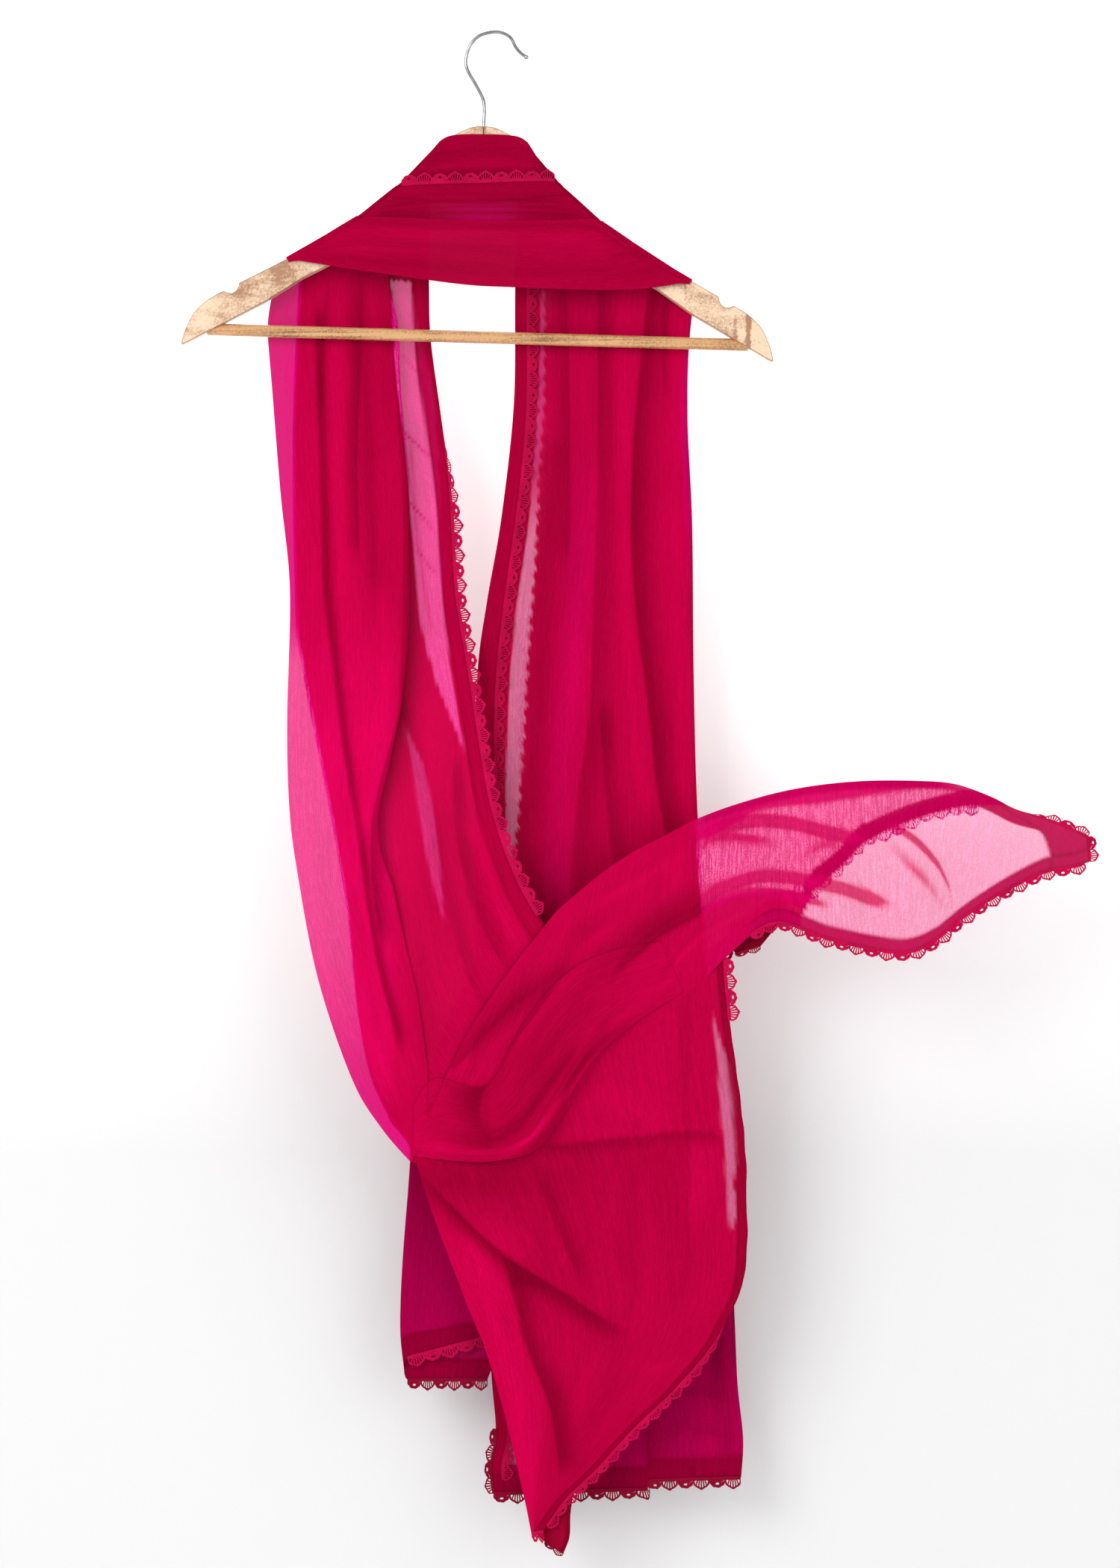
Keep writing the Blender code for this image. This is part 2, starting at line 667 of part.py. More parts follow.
def left_fall(finish, lace_finish):
    def runs_at(down, near, width):
        inner_turn, outer_turn = read_at(LEFT_TURNS, down)
        return [(1.0, inner_turn, 0), (inner_turn, outer_turn, 1), (outer_turn, 0.0, 2)]

    counts = (8, 5, 7)
    grid = fall_grid(LEFT_INNER, LEFT_OUTER, 21, runs_at, counts, LEFT_DEPTH, LEFT_FOLDS)
    sheet("left_fall", grid, finish)
    hem = [row[-1] for row in grid]
    inside = [row[-2] for row in grid]
    lace("lace_left_fall", hem, inside, lace_finish, 0.42, 0.985)
    return grid


def right_fall(finish, lace_finish):
    def runs_at(down, near, width):
        first, second = read_at(RIGHT_REAR_HEMS, near.y)
        return [(first / width, 0.0, 1), (0.0, 1.0, 0), (1.0, second / width, 1)]

    counts = (2, 10, 7)
    grid = fall_grid(RIGHT_INNER, RIGHT_OUTER, 25, runs_at, counts, RIGHT_DEPTH, RIGHT_FOLDS)
    sheet("right_fall", grid, finish)
    lace("lace_rear_hem_first", [row[0] for row in grid], [row[1] for row in grid], lace_finish, 0.1, 0.99)
    lace("lace_rear_hem_second", [row[-1] for row in grid], [row[-2] for row in grid], lace_finish, 0.1, 0.99)
    front_first = counts[0] + 1 + len(TURN_ANGLES)
    front_last = front_first + counts[1]
    bottom = grid[-1][front_first:front_last + 1]
    above = grid[-2][front_first:front_last + 1]
    lace("lace_rear_bottom", bottom, above, lace_finish)


def throw_point(position, across):
    row = smooth_row(THROW, position * (len(THROW) - 1))
    top = Vector((row[0], row[2], row[1]))
    low = Vector((row[3], row[5], row[4]))
    point = top.lerp(low, across)
    calm = clamp(position * 5.0) * clamp((1.0 - position) * 6.0)
    edge_calm = clamp(across * 8.0) * clamp((1.0 - across) * 8.0)
    point.y += fold_relief(THROW_FOLDS, across, position) * calm * edge_calm
    return point


def throw(finish, lace_finish):
    steps_along = 28
    steps_across = 8
    grid = []
    for index in range(steps_along + 1):
        position = index / steps_along
        row = [throw_point(position, step / steps_across) for step in range(steps_across + 1)]
        if index == 0:
            row = [point + Vector((0.5, 0.0, -0.3)) for point in row]
        grid.append(row)
    sheet("throw", grid, finish)
    hem_from = 13
    hem = [row[-1] for row in grid[hem_from:]]
    inside = [row[-2] for row in grid[hem_from:]]
    lace("lace_throw", hem, inside, lace_finish, 0.04, 0.985)
    lace("lace_throw_end", grid[-1], grid[-2], lace_finish)
    return grid


def throw_flap(finish, lace_finish):
    steps_along = 16
    steps_across = 5
    behind = CLOTH_WALL + SEAM
    grid = []
    for index in range(steps_along + 1):
        share = index / steps_along
        position = blend(*FLAP_SPAN, share)
        top = throw_point(position, 0.02)
        low = edge_point(FLAP_LOW, share)
        row = []
        for step in range(steps_across + 1):
            down = step / steps_across
            point = Vector((blend(top.x, low.x, down), 0.0, blend(top.z, low.y, down)))
            away = behind + 0.2 + 9.0 * sin(pi * down * 0.75) * clamp(down * 2.0)
            point.y = blend(top.y, top.y + 6.0, down) + away
            row.append(point)
        grid.append(row)
    sheet("throw_flap", grid, finish)
    lace("lace_throw_flap", [row[-1] for row in grid], [row[-2] for row in grid], lace_finish)


def swag(skin, finish):
    steps_along = 20
    steps_across = 6
    grid = []
    for index in range(steps_along + 1):
        share = index / steps_along
        high = edge_point(SWAG_UPPER, share)
        low = edge_point(SWAG_LOWER, share)
        row = []
        for step in range(steps_across + 1):
            across = step / steps_across
            point = high.lerp(low, across)
            bulge = 13.0 * sin(pi * across) ** 0.7 * blend(1.0, 0.35, share) * clamp(share * 6.0 + 0.2)
            roll = 5.0 * exp(-(((across - 0.86) / 0.09) ** 2)) * blend(1.0, 0.3, share)
            front = front_depth(skin, point.x, point.y) - LIES_ON
            row.append(Vector((point.x, front - bulge - roll, point.y)))
        grid.append(row)
    sheet("swag", grid, finish)


def front_tail(finish, lace_finish):
    steps_down = 19
    steps_across = 12
    grid = []
    root_span = 8.0 / (len(THROW) - 1)
    for index in range(steps_down + 1):
        down = index / steps_down
        left_x, left_z, right_x, right_z, depth = smooth_row(TAIL, down * (len(TAIL) - 1))
        curved = clamp(1.0 - down / TAIL_CURVED) ** 1.5
        row = []
        for step in range(steps_across + 1):
            across = step / steps_across
            straight = Vector((blend(left_x, right_x, across), depth, blend(left_z, right_z, across)))
            root = throw_point(across * root_span, TAIL_LAPS)
            first = Vector((blend(TAIL[0].left_x, TAIL[0].right_x, across), 0.0,
                            blend(TAIL[0].left_z, TAIL[0].right_z, across)))
            bow = Vector((root.x - first.x, 0.0, root.z - first.z))
            point = straight + bow * curved
            behind = root.y + CLOTH_WALL + SEAM + 0.3
            point.y = blend(depth, behind, clamp(1.0 - down * 6.0))
            calm = clamp(down * 4.0) * clamp((1.0 - down) * 4.0)
            point.y += fold_relief(TAIL_FOLDS, across, down) * calm
            row.append(point)
        grid.append(row)
    sheet("front_tail", grid, finish)
    hem = [row[-1] for row in grid]
    inside = [row[-2] for row in grid]
    lace("lace_tail_diagonal", hem, inside, lace_finish, 0.5, 0.99)
    lace("lace_tail_tip", grid[-1], grid[-2], lace_finish)


def rear_left(finish, lace_finish):
    steps_down = 11
    counts = (5, 5)
    grid = []
    for index in range(steps_down + 1):
        down = index / steps_down
        left_x, right_x, z = smooth_row(REAR_LEFT, down * (len(REAR_LEFT) - 1))
        width = right_x - left_x
        pitch = blend(REAR_PITCH_TIGHT, REAR_PITCH_LOOSE, down)
        runs = [(1.0, 0.0, 0), (0.0, 0.8, 1)]
        row = []
        for share, reach, layer_depth in section_path(runs, pitch, counts):
            rear = clamp(layer_depth / pitch)
            slant = blend(blend(0.0, 20.0, share), -17.0, rear) * down ** 3
            depth = blend(10.8, 11.8, down) + layer_depth + 0.6 * sin(share * 9.0) * down
            row.append(Vector((left_x + width * share + reach, depth, z + slant)))
        grid.append(row)
    sheet("rear_tail_left", grid, finish)
    front_ends = counts[0] + 1
    back_starts = front_ends + len(TURN_ANGLES)
    lace("lace_rear_left_front", grid[-1][:front_ends], grid[-2][:front_ends], lace_finish)
    lace("lace_rear_left_back", grid[-1][back_starts:], grid[-2][back_starts:], lace_finish)


def main():
    clear_scene()
    band_finish = material("cloth_band", "cloth_band", 0.8)
    left_finish = material("cloth_left", "cloth_left", 0.8)
    right_finish = material("cloth_right", "cloth_right", 0.8)
    rear_finish = material("cloth_rear", "cloth_rear", 0.8)
    lace_finish = material("lace", "lace", 0.7)
    hanger()
    bands(band_finish, lace_finish)
    left = left_fall(left_finish, lace_finish)
    right_fall(right_finish, lace_finish)
    thrown = throw(left_finish, lace_finish)
    throw_flap(left_finish, lace_finish)
    swag(skin_of(left, thrown), left_finish)
    front_tail(left_finish, lace_finish)
    rear_left(rear_finish, lace_finish)


main()
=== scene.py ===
# Looks of a dupatta stole hung over a wooden clothes hanger.
# Sizes are in millimetres and are turned into metres when a mesh is made.

from bisect import bisect_right
from collections import namedtuple
from math import cos, exp, hypot, pi, radians, sin

import bmesh
import bpy
from mathutils import Matrix, Vector, noise
from mathutils.bvhtree import BVHTree


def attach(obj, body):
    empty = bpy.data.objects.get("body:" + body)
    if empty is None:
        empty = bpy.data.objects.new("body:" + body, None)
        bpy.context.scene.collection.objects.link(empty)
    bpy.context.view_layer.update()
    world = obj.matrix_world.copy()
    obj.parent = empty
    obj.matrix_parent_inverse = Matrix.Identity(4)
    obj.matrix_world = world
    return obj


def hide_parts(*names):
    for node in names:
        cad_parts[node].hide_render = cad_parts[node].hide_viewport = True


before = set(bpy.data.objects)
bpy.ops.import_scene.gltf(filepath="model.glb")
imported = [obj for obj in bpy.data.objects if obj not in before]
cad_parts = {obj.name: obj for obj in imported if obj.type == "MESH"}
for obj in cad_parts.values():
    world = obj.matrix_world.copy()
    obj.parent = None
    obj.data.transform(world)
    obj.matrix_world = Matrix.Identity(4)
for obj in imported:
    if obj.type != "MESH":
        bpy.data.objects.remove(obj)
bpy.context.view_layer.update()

MM = 0.001
SEAM = 0.3
CLOTH_WALL = 1.3
WRAP_DOWN = 4.0
LIES_ON = 1.9
HEM_WIDE = 17.0
STITCH_IN = 1.2
STITCH_WIDE = 1.4
EDGE_WIDE = 2.4
TURN_POINTS = 5

# Hanger sizes, in the hanger's own untilted frame
TILT = radians(1.67)
CENTRE_X = -5.8
CROWN_Z = -70.6
ARM_THICK = 13.0
ARM_ROUND = 2.4
BAR_DROP = 158.6
BAR_RADIUS = 4.65
BAR_HALF = 204.0
WIRE_RADIUS = 1.4
SHANK_SUNK = 14.0

# Lace edging
LACE_PAIR = 23.0
LACE_THICK = 0.5
LACE_LAP = 1.2

# Cloth colours, in linear light; some of them are painted light and shade
STRIP = Vector((0.50, 0.085, 0.195))
SHEER = Vector((0.67, 0.001, 0.190))
TOP_FOLDS = Vector((0.54, 0.0006, 0.090))
PALE = Vector((0.70, 0.001, 0.205))
LIGHT = Vector((0.76, 0.001, 0.195))
INSIDE = Vector((0.70, 0.001, 0.215))
# GLOW is a painted glow of light on lit parts of the falls
GLOW = Vector((0.61, 0.001, 0.080))
ROSE = Vector((0.58, 0.001, 0.150))
# BRIGHT is a painted highlight on ridges, and LIT painted light on lit cloth
BRIGHT = Vector((0.60, 0.0006, 0.066))
LIT = Vector((0.52, 0.0006, 0.056))
MIDDLE = Vector((0.42, 0.0005, 0.042))
DENSE = Vector((0.355, 0.0005, 0.033))
MAGENTA = Vector((0.48, 0.0005, 0.088))
PURPLE = Vector((0.43, 0.0005, 0.088))
# Cloth hanging behind, darker from painted shade as well as from its layers
REAR_SHADED = Vector((0.33, 0.0005, 0.053))
HEM = Vector((0.28, 0.0005, 0.024))
# Hems of the cloth hanging behind, darker from painted shade as well as from their layers
HEM_REAR_SHADED = Vector((0.225, 0.0005, 0.022))
HEM_LIT = Vector((0.40, 0.0005, 0.055))
HEM_FLAP = Vector((0.43, 0.0005, 0.066))
# DEEP is painted shade in folds, pockets and gaps, and also the dark of stitches and hem edges
DEEP = Vector((0.20, 0.0005, 0.017))


def table(columns, *rows):
    """Rows of numbers with named columns."""
    row_type = namedtuple("Row", columns)
    return [row_type(*row) for row in rows]


ARM_UPPER = table(
    "across drop",
    (0.15, 0.0), (8.0, 0.7), (20.0, 6.0), (35.0, 17.0), (60.0, 45.0), (90.0, 70.0),
    (115.0, 86.0), (145.6, 104.2), (180.7, 123.2),
)
ARM_NOTCH = table(
    "across drop",
    (181.2, 126.0), (182.8, 129.2), (186.0, 131.2), (189.4, 130.9),
)
ARM_END = table(
    "across drop",
    (192.2, 129.6), (203.0, 135.8), (213.0, 145.0), (219.6, 157.4), (222.7, 167.6),
    (221.5, 170.3),
)
ARM_LOWER = table(
    "across drop",
    (207.0, 162.5), (193.7, 155.3), (162.0, 137.7), (133.8, 118.8), (114.5, 108.4),
    (85.0, 88.0), (60.0, 68.0), (35.0, 50.0), (15.0, 42.0), (0.15, 40.0),
)
HOOK_WIRE = table(
    "x z",
    (CENTRE_X, CROWN_Z - SHANK_SUNK), (CENTRE_X, CROWN_Z), (CENTRE_X, -56.0), (-7.4, -48.6),
    (-13.0, -38.5), (-19.2, -28.2), (-20.8, -20.3), (-17.9, -9.3), (-10.9, -1.7),
    (0.0, WIRE_RADIUS), (7.9, 0.2), (12.9, -3.2), (16.2, -9.1), (19.9, -13.5), (24.6, -16.8),
)

TOP_BAND_UPPER = table("x z", (-42.9, -83.1), (-32.1, -77.5), (-8.0, -76.6), (16.7, -78.0), (27.0, -84.0))
TOP_BAND_LOWER = table(
    "x z", (-77.0, -119.5), (-40.0, -123.5), (-10.0, -125.0), (20.0, -123.5), (49.0, -113.5))
MIDDLE_BAND_UPPER = table(
    "x z", (-72.5, -115.0), (-55.0, -113.8), (-10.0, -112.6), (30.0, -111.2), (48.5, -111.8))
MIDDLE_BAND_LOWER = table(
    "x z", (-107.0, -141.0), (-60.0, -148.0), (-5.0, -150.0), (45.0, -149.5), (82.0, -141.0))
LOWER_BAND_UPPER = table(
    "x z", (-102.5, -138.6), (-60.0, -140.5), (-1.9, -142.7), (50.0, -141.6), (80.0, -140.0))
LOWER_BAND_LOWER = table(
    "x z", (-156.3, -170.5), (-125.4, -175.6), (-79.4, -182.7), (-23.7, -190.4), (15.8, -192.6),
    (79.1, -194.3), (115.4, -193.0), (148.7, -187.5))

LEFT_INNER = table(
    "x z",
    (-46.5, -96.0), (-49.0, -145.0), (-49.6, -192.3), (-48.2, -230.6), (-40.6, -286.9),
    (-33.5, -339.1), (-31.0, -385.0), (-27.5, -430.0), (-19.0, -480.0), (-8.0, -550.0),
    (0.5, -590.0), (14.0, -629.0), (27.0, -655.0), (38.0, -672.0),
)
LEFT_OUTER = table(
    "x z",
    (-155.0, -174.5), (-160.5, -187.0), (-165.3, -200.4), (-171.3, -229.5), (-169.3, -252.7),
    (-161.3, -347.2), (-153.8, -421.7), (-155.6, -520.0), (-153.8, -583.8), (-147.7, -632.0),
    (-132.2, -711.8), (-106.3, -787.7), (-83.9, -824.7), (-62.4, -849.7),
)
LEFT_DEPTH = table(
    "z y",
    (-80.0, 9.6), (-215.0, 9.6), (-255.0, 8.6), (-340.0, 1.0), (-480.0, -14.0),
    (-670.0, -22.0), (-850.0, -27.0),
)
RIGHT_INNER = table(
    "x z",
    (26.0, -92.0), (19.0, -145.0), (16.3, -194.3), (15.4, -278.8), (6.3, -363.3),
    (-4.7, -427.5), (-11.8, -480.0), (-14.0, -560.0), (-13.0, -700.0), (-9.0, -850.0),
    (-3.0, -1000.0), (1.0, -1053.0), (-3.0, -1080.0), (-1.0, -1100.5),
)
RIGHT_OUTER = table(
    "x z",
    (146.0, -190.0), (149.4, -213.5), (144.2, -278.8), (147.1, -367.3), (148.1, -481.6),
    (151.2, -591.5), (159.4, -703.0), (170.6, -818.5), (178.0, -908.4), (181.6, -973.2),
    (183.8, -1022.2), (188.0, -1065.0), (186.5, -1095.0),
)
RIGHT_DEPTH = table(
    "z y",
    (-80.0, 9.6), (-215.0, 9.6), (-260.0, 9.4), (-480.0, 13.0), (-700.0, 16.0), (-1110.0, 21.0),
)
RIGHT_REAR_HEMS = table(
    "z first second",
    (-80.0, 10.0, 31.0), (-194.0, 11.0, 33.0), (-363.0, 11.5, 38.0), (-480.0, 15.0, 41.0),
    (-700.0, 16.0, 46.0), (-980.0, 11.0, 46.0), (-1110.0, 9.0, 46.0),
)
THROW = table(
    "top_x top_z top_y low_x low_z low_y",
    (38.3, -672.0, -22.0, -62.2, -849.6, -27.0),
    (47.0, -661.5, -23.0, -35.0, -853.0, -27.5),
    (56.3, -653.2, -23.5, -4.0, -853.5, -28.0),
    (72.0, -640.0, -24.0, 30.0, -845.5, -28.5),
    (90.9, -625.6, -24.0, 55.0, -812.0, -28.5),
    (110.0, -614.0, -24.0, 80.0, -774.0, -28.0),
    (130.0, -603.8, -24.0, 116.0, -744.0, -27.0),
    (151.3, -592.6, -24.0, 150.0, -722.0, -27.0),
    (178.0, -582.4, -25.0, 172.0, -698.0, -28.0),
    (212.0, -572.6, -26.0, 209.0, -670.5, -30.0),
    (245.0, -566.6, -28.0, 250.0, -682.0, -34.0),
    (280.0, -563.6, -30.0, 286.0, -690.0, -40.0),
    (317.3, -563.6, -33.0, 309.0, -692.0, -44.0),
    (345.3, -566.0, -36.0, 329.0, -683.5, -45.0),
    (371.2, -575.1, -39.0, 351.0, -665.5, -45.0),
    (390.0, -584.6, -42.0, 379.0, -647.5, -46.0),
    (410.0, -590.6, -44.0, 411.0, -632.0, -48.0),
    (430.0, -598.5, -46.0, 432.0, -628.0, -49.0),
    (444.0, -605.0, -47.5, 445.0, -624.0, -50.0),
)
FLAP_LOW = table(
    "x z",
    (151.0, -712.0), (176.0, -690.0), (205.0, -666.0), (232.0, -650.0), (255.0, -630.0), (277.0, -608.0),
    (303.0, -598.0), (325.6, -587.5), (352.0, -583.0), (364.0, -583.5),
)
FLAP_SPAN = (0.389, 0.765)
TAIL = table(
    "left_x left_z right_x right_z y",
    (-62.2, -850.2, 171.5, -703.0, -27.0),
    (-50.0, -885.0, 177.5, -757.0, -24.0),
    (-36.0, -920.0, 187.0, -822.0, -19.0),
    (-20.0, -960.0, 190.0, -888.0, -14.0),
    (-8.8, -986.0, 188.0, -938.0, -11.0),
    (0.0, -1013.0, 168.0, -984.0, -9.0),
    (7.0, -1038.0, 138.0, -1021.0, -8.0),
    (13.4, -1064.0, 106.0, -1052.0, -8.0),
    (19.0, -1088.0, 76.0, -1084.0, -9.0),
    (24.0, -1110.0, 51.5, -1109.0, -10.0),
    (28.0, -1130.0, 37.0, -1128.5, -11.0),
)
HEM_CORNER = [
    (Vector((176.0, -672.0)), Vector((222.0, -661.0))),
    (Vector((178.0, -680.0)), Vector((214.0, -669.5))),
    (Vector((180.0, -688.0)), Vector((209.0, -677.0))),
    (Vector((181.0, -694.0)), Vector((200.0, -688.0))),
]
TIP_CORNER = [
    (Vector((26.0, -1098.0)), Vector((60.0, -1098.0))),
    (Vector((29.0, -1115.0)), Vector((57.5, -1116.0))),
    (Vector((31.5, -1130.0)), Vector((56.8, -1133.0))),
    (Vector((38.0, -1137.0)), Vector((52.0, -1146.0))),
]
TAIL_CURVED = 0.4
TAIL_LAPS = 0.97
SWAG_UPPER = table(
    "x z",
    (-60.0, -806.0), (-44.0, -787.0), (-6.3, -792.0), (17.9, -752.0), (36.8, -726.0),
    (60.0, -704.0), (92.0, -690.0), (125.0, -684.0),
)
SWAG_LOWER = table(
    "x z",
    (-61.0, -845.0), (-30.0, -848.5), (0.0, -848.5), (30.0, -840.0), (50.0, -812.0),
    (74.0, -773.0), (106.0, -745.0), (142.0, -722.0),
)
REAR_LEFT = table(
    "left_x right_x z",
    (-12.0, 26.0, -700.0), (-40.0, 30.0, -760.0), (-58.0, 34.0, -820.0), (-64.0, 36.0, -880.0),
    (-68.0, 34.0, -935.0), (-69.0, 26.0, -975.0), (-66.0, 10.0, -1000.0),
)

# Lines where the left fall turns back under itself
LEFT_DENSE_EDGE = [
    (-82, -184), (-75, -220), (-73, -267), (-68, -327), (-66, -367), (-66, -453), (-71, -506),
    (-81, -558), (-88, -590), (-86, -619), (-77, -644), (-66, -691), (-58, -722), (-50, -781),
]


def blend(start, end, share):
    return start + (end - start) * share


def clamp(value):
    return min(max(value, 0.0), 1.0)


def soft(value):
    """Smooth step from 0 to 1."""
    value = clamp(value)
    return value * value * (3.0 - 2.0 * value)


def past(value, start, span):
    """Smooth step from 0 at start to 1 a span further on."""
    return soft((value - start) / span)


def step_at(value, place, span):
    """Smooth step centred on a place."""
    return soft((value - place) / span + 0.5)


def bell(away, width):
    return exp(-((away / width) ** 2))


def catmull(before, start, end, after, share):
    """Smooth blend between start and end, led by the rows around them."""
    square = share * share
    cube = square * share
    return 0.5 * (
        2.0 * start
        + (end - before) * share
        + (2.0 * before - 5.0 * start + 4.0 * end - after) * square
        + (3.0 * start - before - 3.0 * end + after) * cube
    )


def smooth_row(rows, position):
    """Values of a table at a position counted in rows."""
    last = len(rows) - 1
    position = min(max(position, 0.0), float(last))
    index = min(int(position), last - 1)
    share = position - index
    around = [rows[min(max(index + step, 0), last)] for step in (-1, 0, 1, 2)]
    return [catmull(*values, share) for values in zip(*around)]


def edge_position(rows, share):
    """Row position at a share of the edge's length."""
    lengths = [hypot(b.x - a.x, b.z - a.z) for a, b in zip(rows, rows[1:])]
    target = share * sum(lengths)
    for index, length in enumerate(lengths):
        if target <= length or index == len(lengths) - 1:
            return index + min(target / length, 1.0)
        target -= length


def edge_point(rows, share):
    """Point (x, z) of a smooth edge at a share of its length."""
    return Vector(smooth_row(rows, edge_position(rows, share)))


def read_at(rows, key):
    """Interpolation on a table's first column, which runs downwards or upwards."""
    rising = rows[-1][0] > rows[0][0]
    ordered = rows if rising else rows[::-1]
    if key <= ordered[0][0]:
        return ordered[0][1:]
    for low, high in zip(ordered, ordered[1:]):
        if key <= high[0]:
            share = soft((key - low[0]) / (high[0] - low[0]))
            return tuple(a + (b - a) * share for a, b in zip(low[1:], high[1:]))
    return ordered[-1][1:]


class Line:
    """A smooth line on the drape: x for each height, or height for each x when it is level."""

    def __init__(self, points, level=False):
        self.level = level
        pairs = sorted((x, z) if level else (z, x) for x, z in points)
        self.keys = [pair[0] for pair in pairs]
        self.values = [pair[1] for pair in pairs]

    def at(self, key):
        keys = self.keys
        values = self.values
        last = len(keys) - 1
        index = min(max(bisect_right(keys, key) - 1, 0), last - 1)
        share = clamp((key - keys[index]) / (keys[index + 1] - keys[index]))
        return catmull(
            values[max(index - 1, 0)], values[index], values[index + 1],
            values[min(index + 2, last)], share)

    def inside(self, key, fade):
        return soft((key - self.keys[0]) / fade + 0.2) * soft((self.keys[-1] - key) / fade + 0.2)

    def offset(self, x, z):
        if self.level:
            return z - self.at(x)
        return x - self.at(z)


class Crease(Line):
    """A soft fold along a line: its height, its two flanks in mm and its painted shade, a highlight below
    zero.
    """

    def __init__(self, points, height, near, far, tone=0.0, level=False, fade=28.0):
        super().__init__(points, level)
        self.height = height
        self.near = near
        self.far = far
        self.tone = tone
        self.fade = fade

    def weigh(self, x, z):
        key = x if self.level else z
        shown = self.inside(key, self.fade)
        if shown <= 0.0:
            return 0.0, 0.0
        away = self.offset(x, z)
        width = self.near if away < 0.0 else self.far
        if abs(away) > 3.0 * width:
            return 0.0, 0.0
        weight = bell(away, width) * shown
        return self.height * weight, self.tone * weight


def folded(creases, x, z):
    """Depth and painted shade that a list of creases adds at a place."""
    depth = 0.0
    tone = 0.0
    for crease in creases:
        more_depth, more_tone = crease.weigh(x, z)
        depth += more_depth
        tone += more_tone
    return depth, tone


def rumple(x, z, seed, height=1.0):
    """Small uneven waves of limp cloth, longer down the cloth than across."""
    broad = noise.noise(Vector((x * 0.022, z * 0.006, seed)))
    fine = noise.noise(Vector((x * 0.09, z * 0.012, seed + 7.0)))
    return height * (1.6 * broad + 0.5 * fine)


LEFT_CREASES = [
    Crease([(-99, -225), (-96, -300), (-93, -365), (-88, -430)], -2.0, 8.0, 9.0, 0.4),
    Crease([(-126.4, -183), (-130.6, -231), (-132, -290)], -2.0, 1.5, 4.0, 0.35),
    Crease([(-134, -200), (-133.5, -236), (-129.3, -346), (-126.4, -420), (-118, -490), (-111, -544),
            (-100, -610), (-88, -690), (-70, -770)], -3.2, 2.2, 4.5, 0.75),
    Crease([(-120, -190), (-121, -260), (-119, -347), (-115, -430), (-106, -520), (-95, -590)], 2.6,
            7.0, 9.0, -0.25),
    Crease([(-99.7, -183), (-101, -217), (-103.9, -284), (-105, -330), (-103, -400)], -2.8, 9.0, 1.3, 0.55),
    Crease([(-92, -185), (-91, -260), (-88, -360), (-86, -450)], 2.0, 6.0, 6.0, -0.2),
    Crease([(-78.5, -183), (-74.3, -256), (-67.3, -346), (-67.3, -420), (-70.1, -510), (-80, -549),
            (-88.4, -583), (-91.2, -606), (-90, -640), (-84, -690)], -3.4, 1.4, 9.0, 0.6),
    Crease([(-84, -420), (-86, -500), (-98, -560), (-102, -620)], 2.2, 8.0, 5.0, -0.2),
    Crease([(-148, -470), (-141, -560), (-130, -640), (-118, -720), (-96, -785), (-72, -828)], -1.6,
            1.4, 6.0, 0.2),
    Crease([(-67, -505), (-60, -545), (-52, -583), (-44, -617), (-36, -650), (-22, -700), (-8, -745)],
           -2.4, 1.3, 6.0, 0.3),
    Crease([(-44, -450), (-34, -500), (-24, -545), (-14, -590), (0, -640), (14, -690)], 2.6, 7.0, 6.0,
            -0.15),
    Crease([(-30, -540), (-28, -594), (-18, -650), (-1, -690), (12, -708)], -2.8, 1.3, 9.0, 0.5),
    Crease([(-23, -590), (-12, -620), (3, -660), (14, -690)], 2.0, 5.0, 5.0, -0.25),
    Crease([(-60, -620), (-48, -690), (-38, -750)], 2.6, 8.0, 6.0, -0.15),
    Crease([(-72, -640), (-60, -710), (-48, -780)], -1.4, 7.0, 9.0, 0.12),
    Crease([(-100, -640), (-88, -720), (-66, -800)], 2.4, 8.0, 6.0, -0.1),
]
RIGHT_CREASES = [
    Crease([(53.8, -183), (55.2, -250), (55.7, -346), (54, -400)], -2.6, 9.0, 1.2, 0.5),
    Crease([(79.1, -183), (79.1, -340), (76.3, -420), (73.5, -512), (63.6, -583), (58, -645), (55, -700)],
           -3.0, 1.2, 14.0, 0.55),
    Crease([(117.2, -183), (111.5, -245), (105.9, -307), (104.5, -380), (108.7, -442), (117.2, -504),
            (122.8, -560), (129.9, -605), (133, -690)], -3.2, 1.2, 14.0, 0.8),
    Crease([(80.6, -500), (82, -532), (86.2, -589), (90.4, -628), (93, -690)], -2.8, 1.2, 9.0, 0.5),
    Crease([(128, -185), (127, -230), (129, -280)], -2.0, 1.3, 5.0, 0.4),
    Crease([(67, -190), (68, -300), (66, -420)], 2.2, 7.0, 8.0, -0.15),
    Crease([(98, -190), (97, -330), (98, -420), (104, -500), (112, -590)], 2.6, 8.0, 5.0, -0.25),
    Crease([(140, -200), (137, -330), (138, -480), (144, -600)], 2.2, 8.0, 5.0, -0.15),
    Crease([(44, -300), (38, -400), (34, -500), (30, -600)], -1.8, 10.0, 10.0, 0.4),
    Crease([(30, -700), (34, -800), (42, -930), (50, -1090)], -2.4, 4.0, 9.0, 0.3),
    Crease([(116, -780), (117, -900), (116.5, -1000), (116, -1098)], -2.6, 1.2, 9.0, 0.55),
    Crease([(62, -800), (60, -930), (60, -1098)], -2.4, 1.3, 9.0, 0.4),
    Crease([(104, -1052), (128, -1036), (152, -1030), (184, -1034)], -1.6, 1.4, 5.0, 0.35, True),
    Crease([(120, -1066), (146, -1056), (180, -1062)], -1.4, 1.4, 5.0, 0.3, True),
    Crease([(158, -985), (150, -1012), (132, -1046)], -1.6, 5.0, 1.4, 0.3),
    Crease([(150, -780), (158, -930), (164, -1090)], 2.2, 9.0, 6.0, -0.15),
    Crease([(170, -930), (174, -1010), (178, -1080)], -1.8, 6.0, 4.0, 0.25),
]
TUCK_WAY = [(-22, -772), (-10.5, -758), (13.9, -735), (36.4, -718), (60, -701)]
TUCK = Line([(-30, -780), *TUCK_WAY], True)
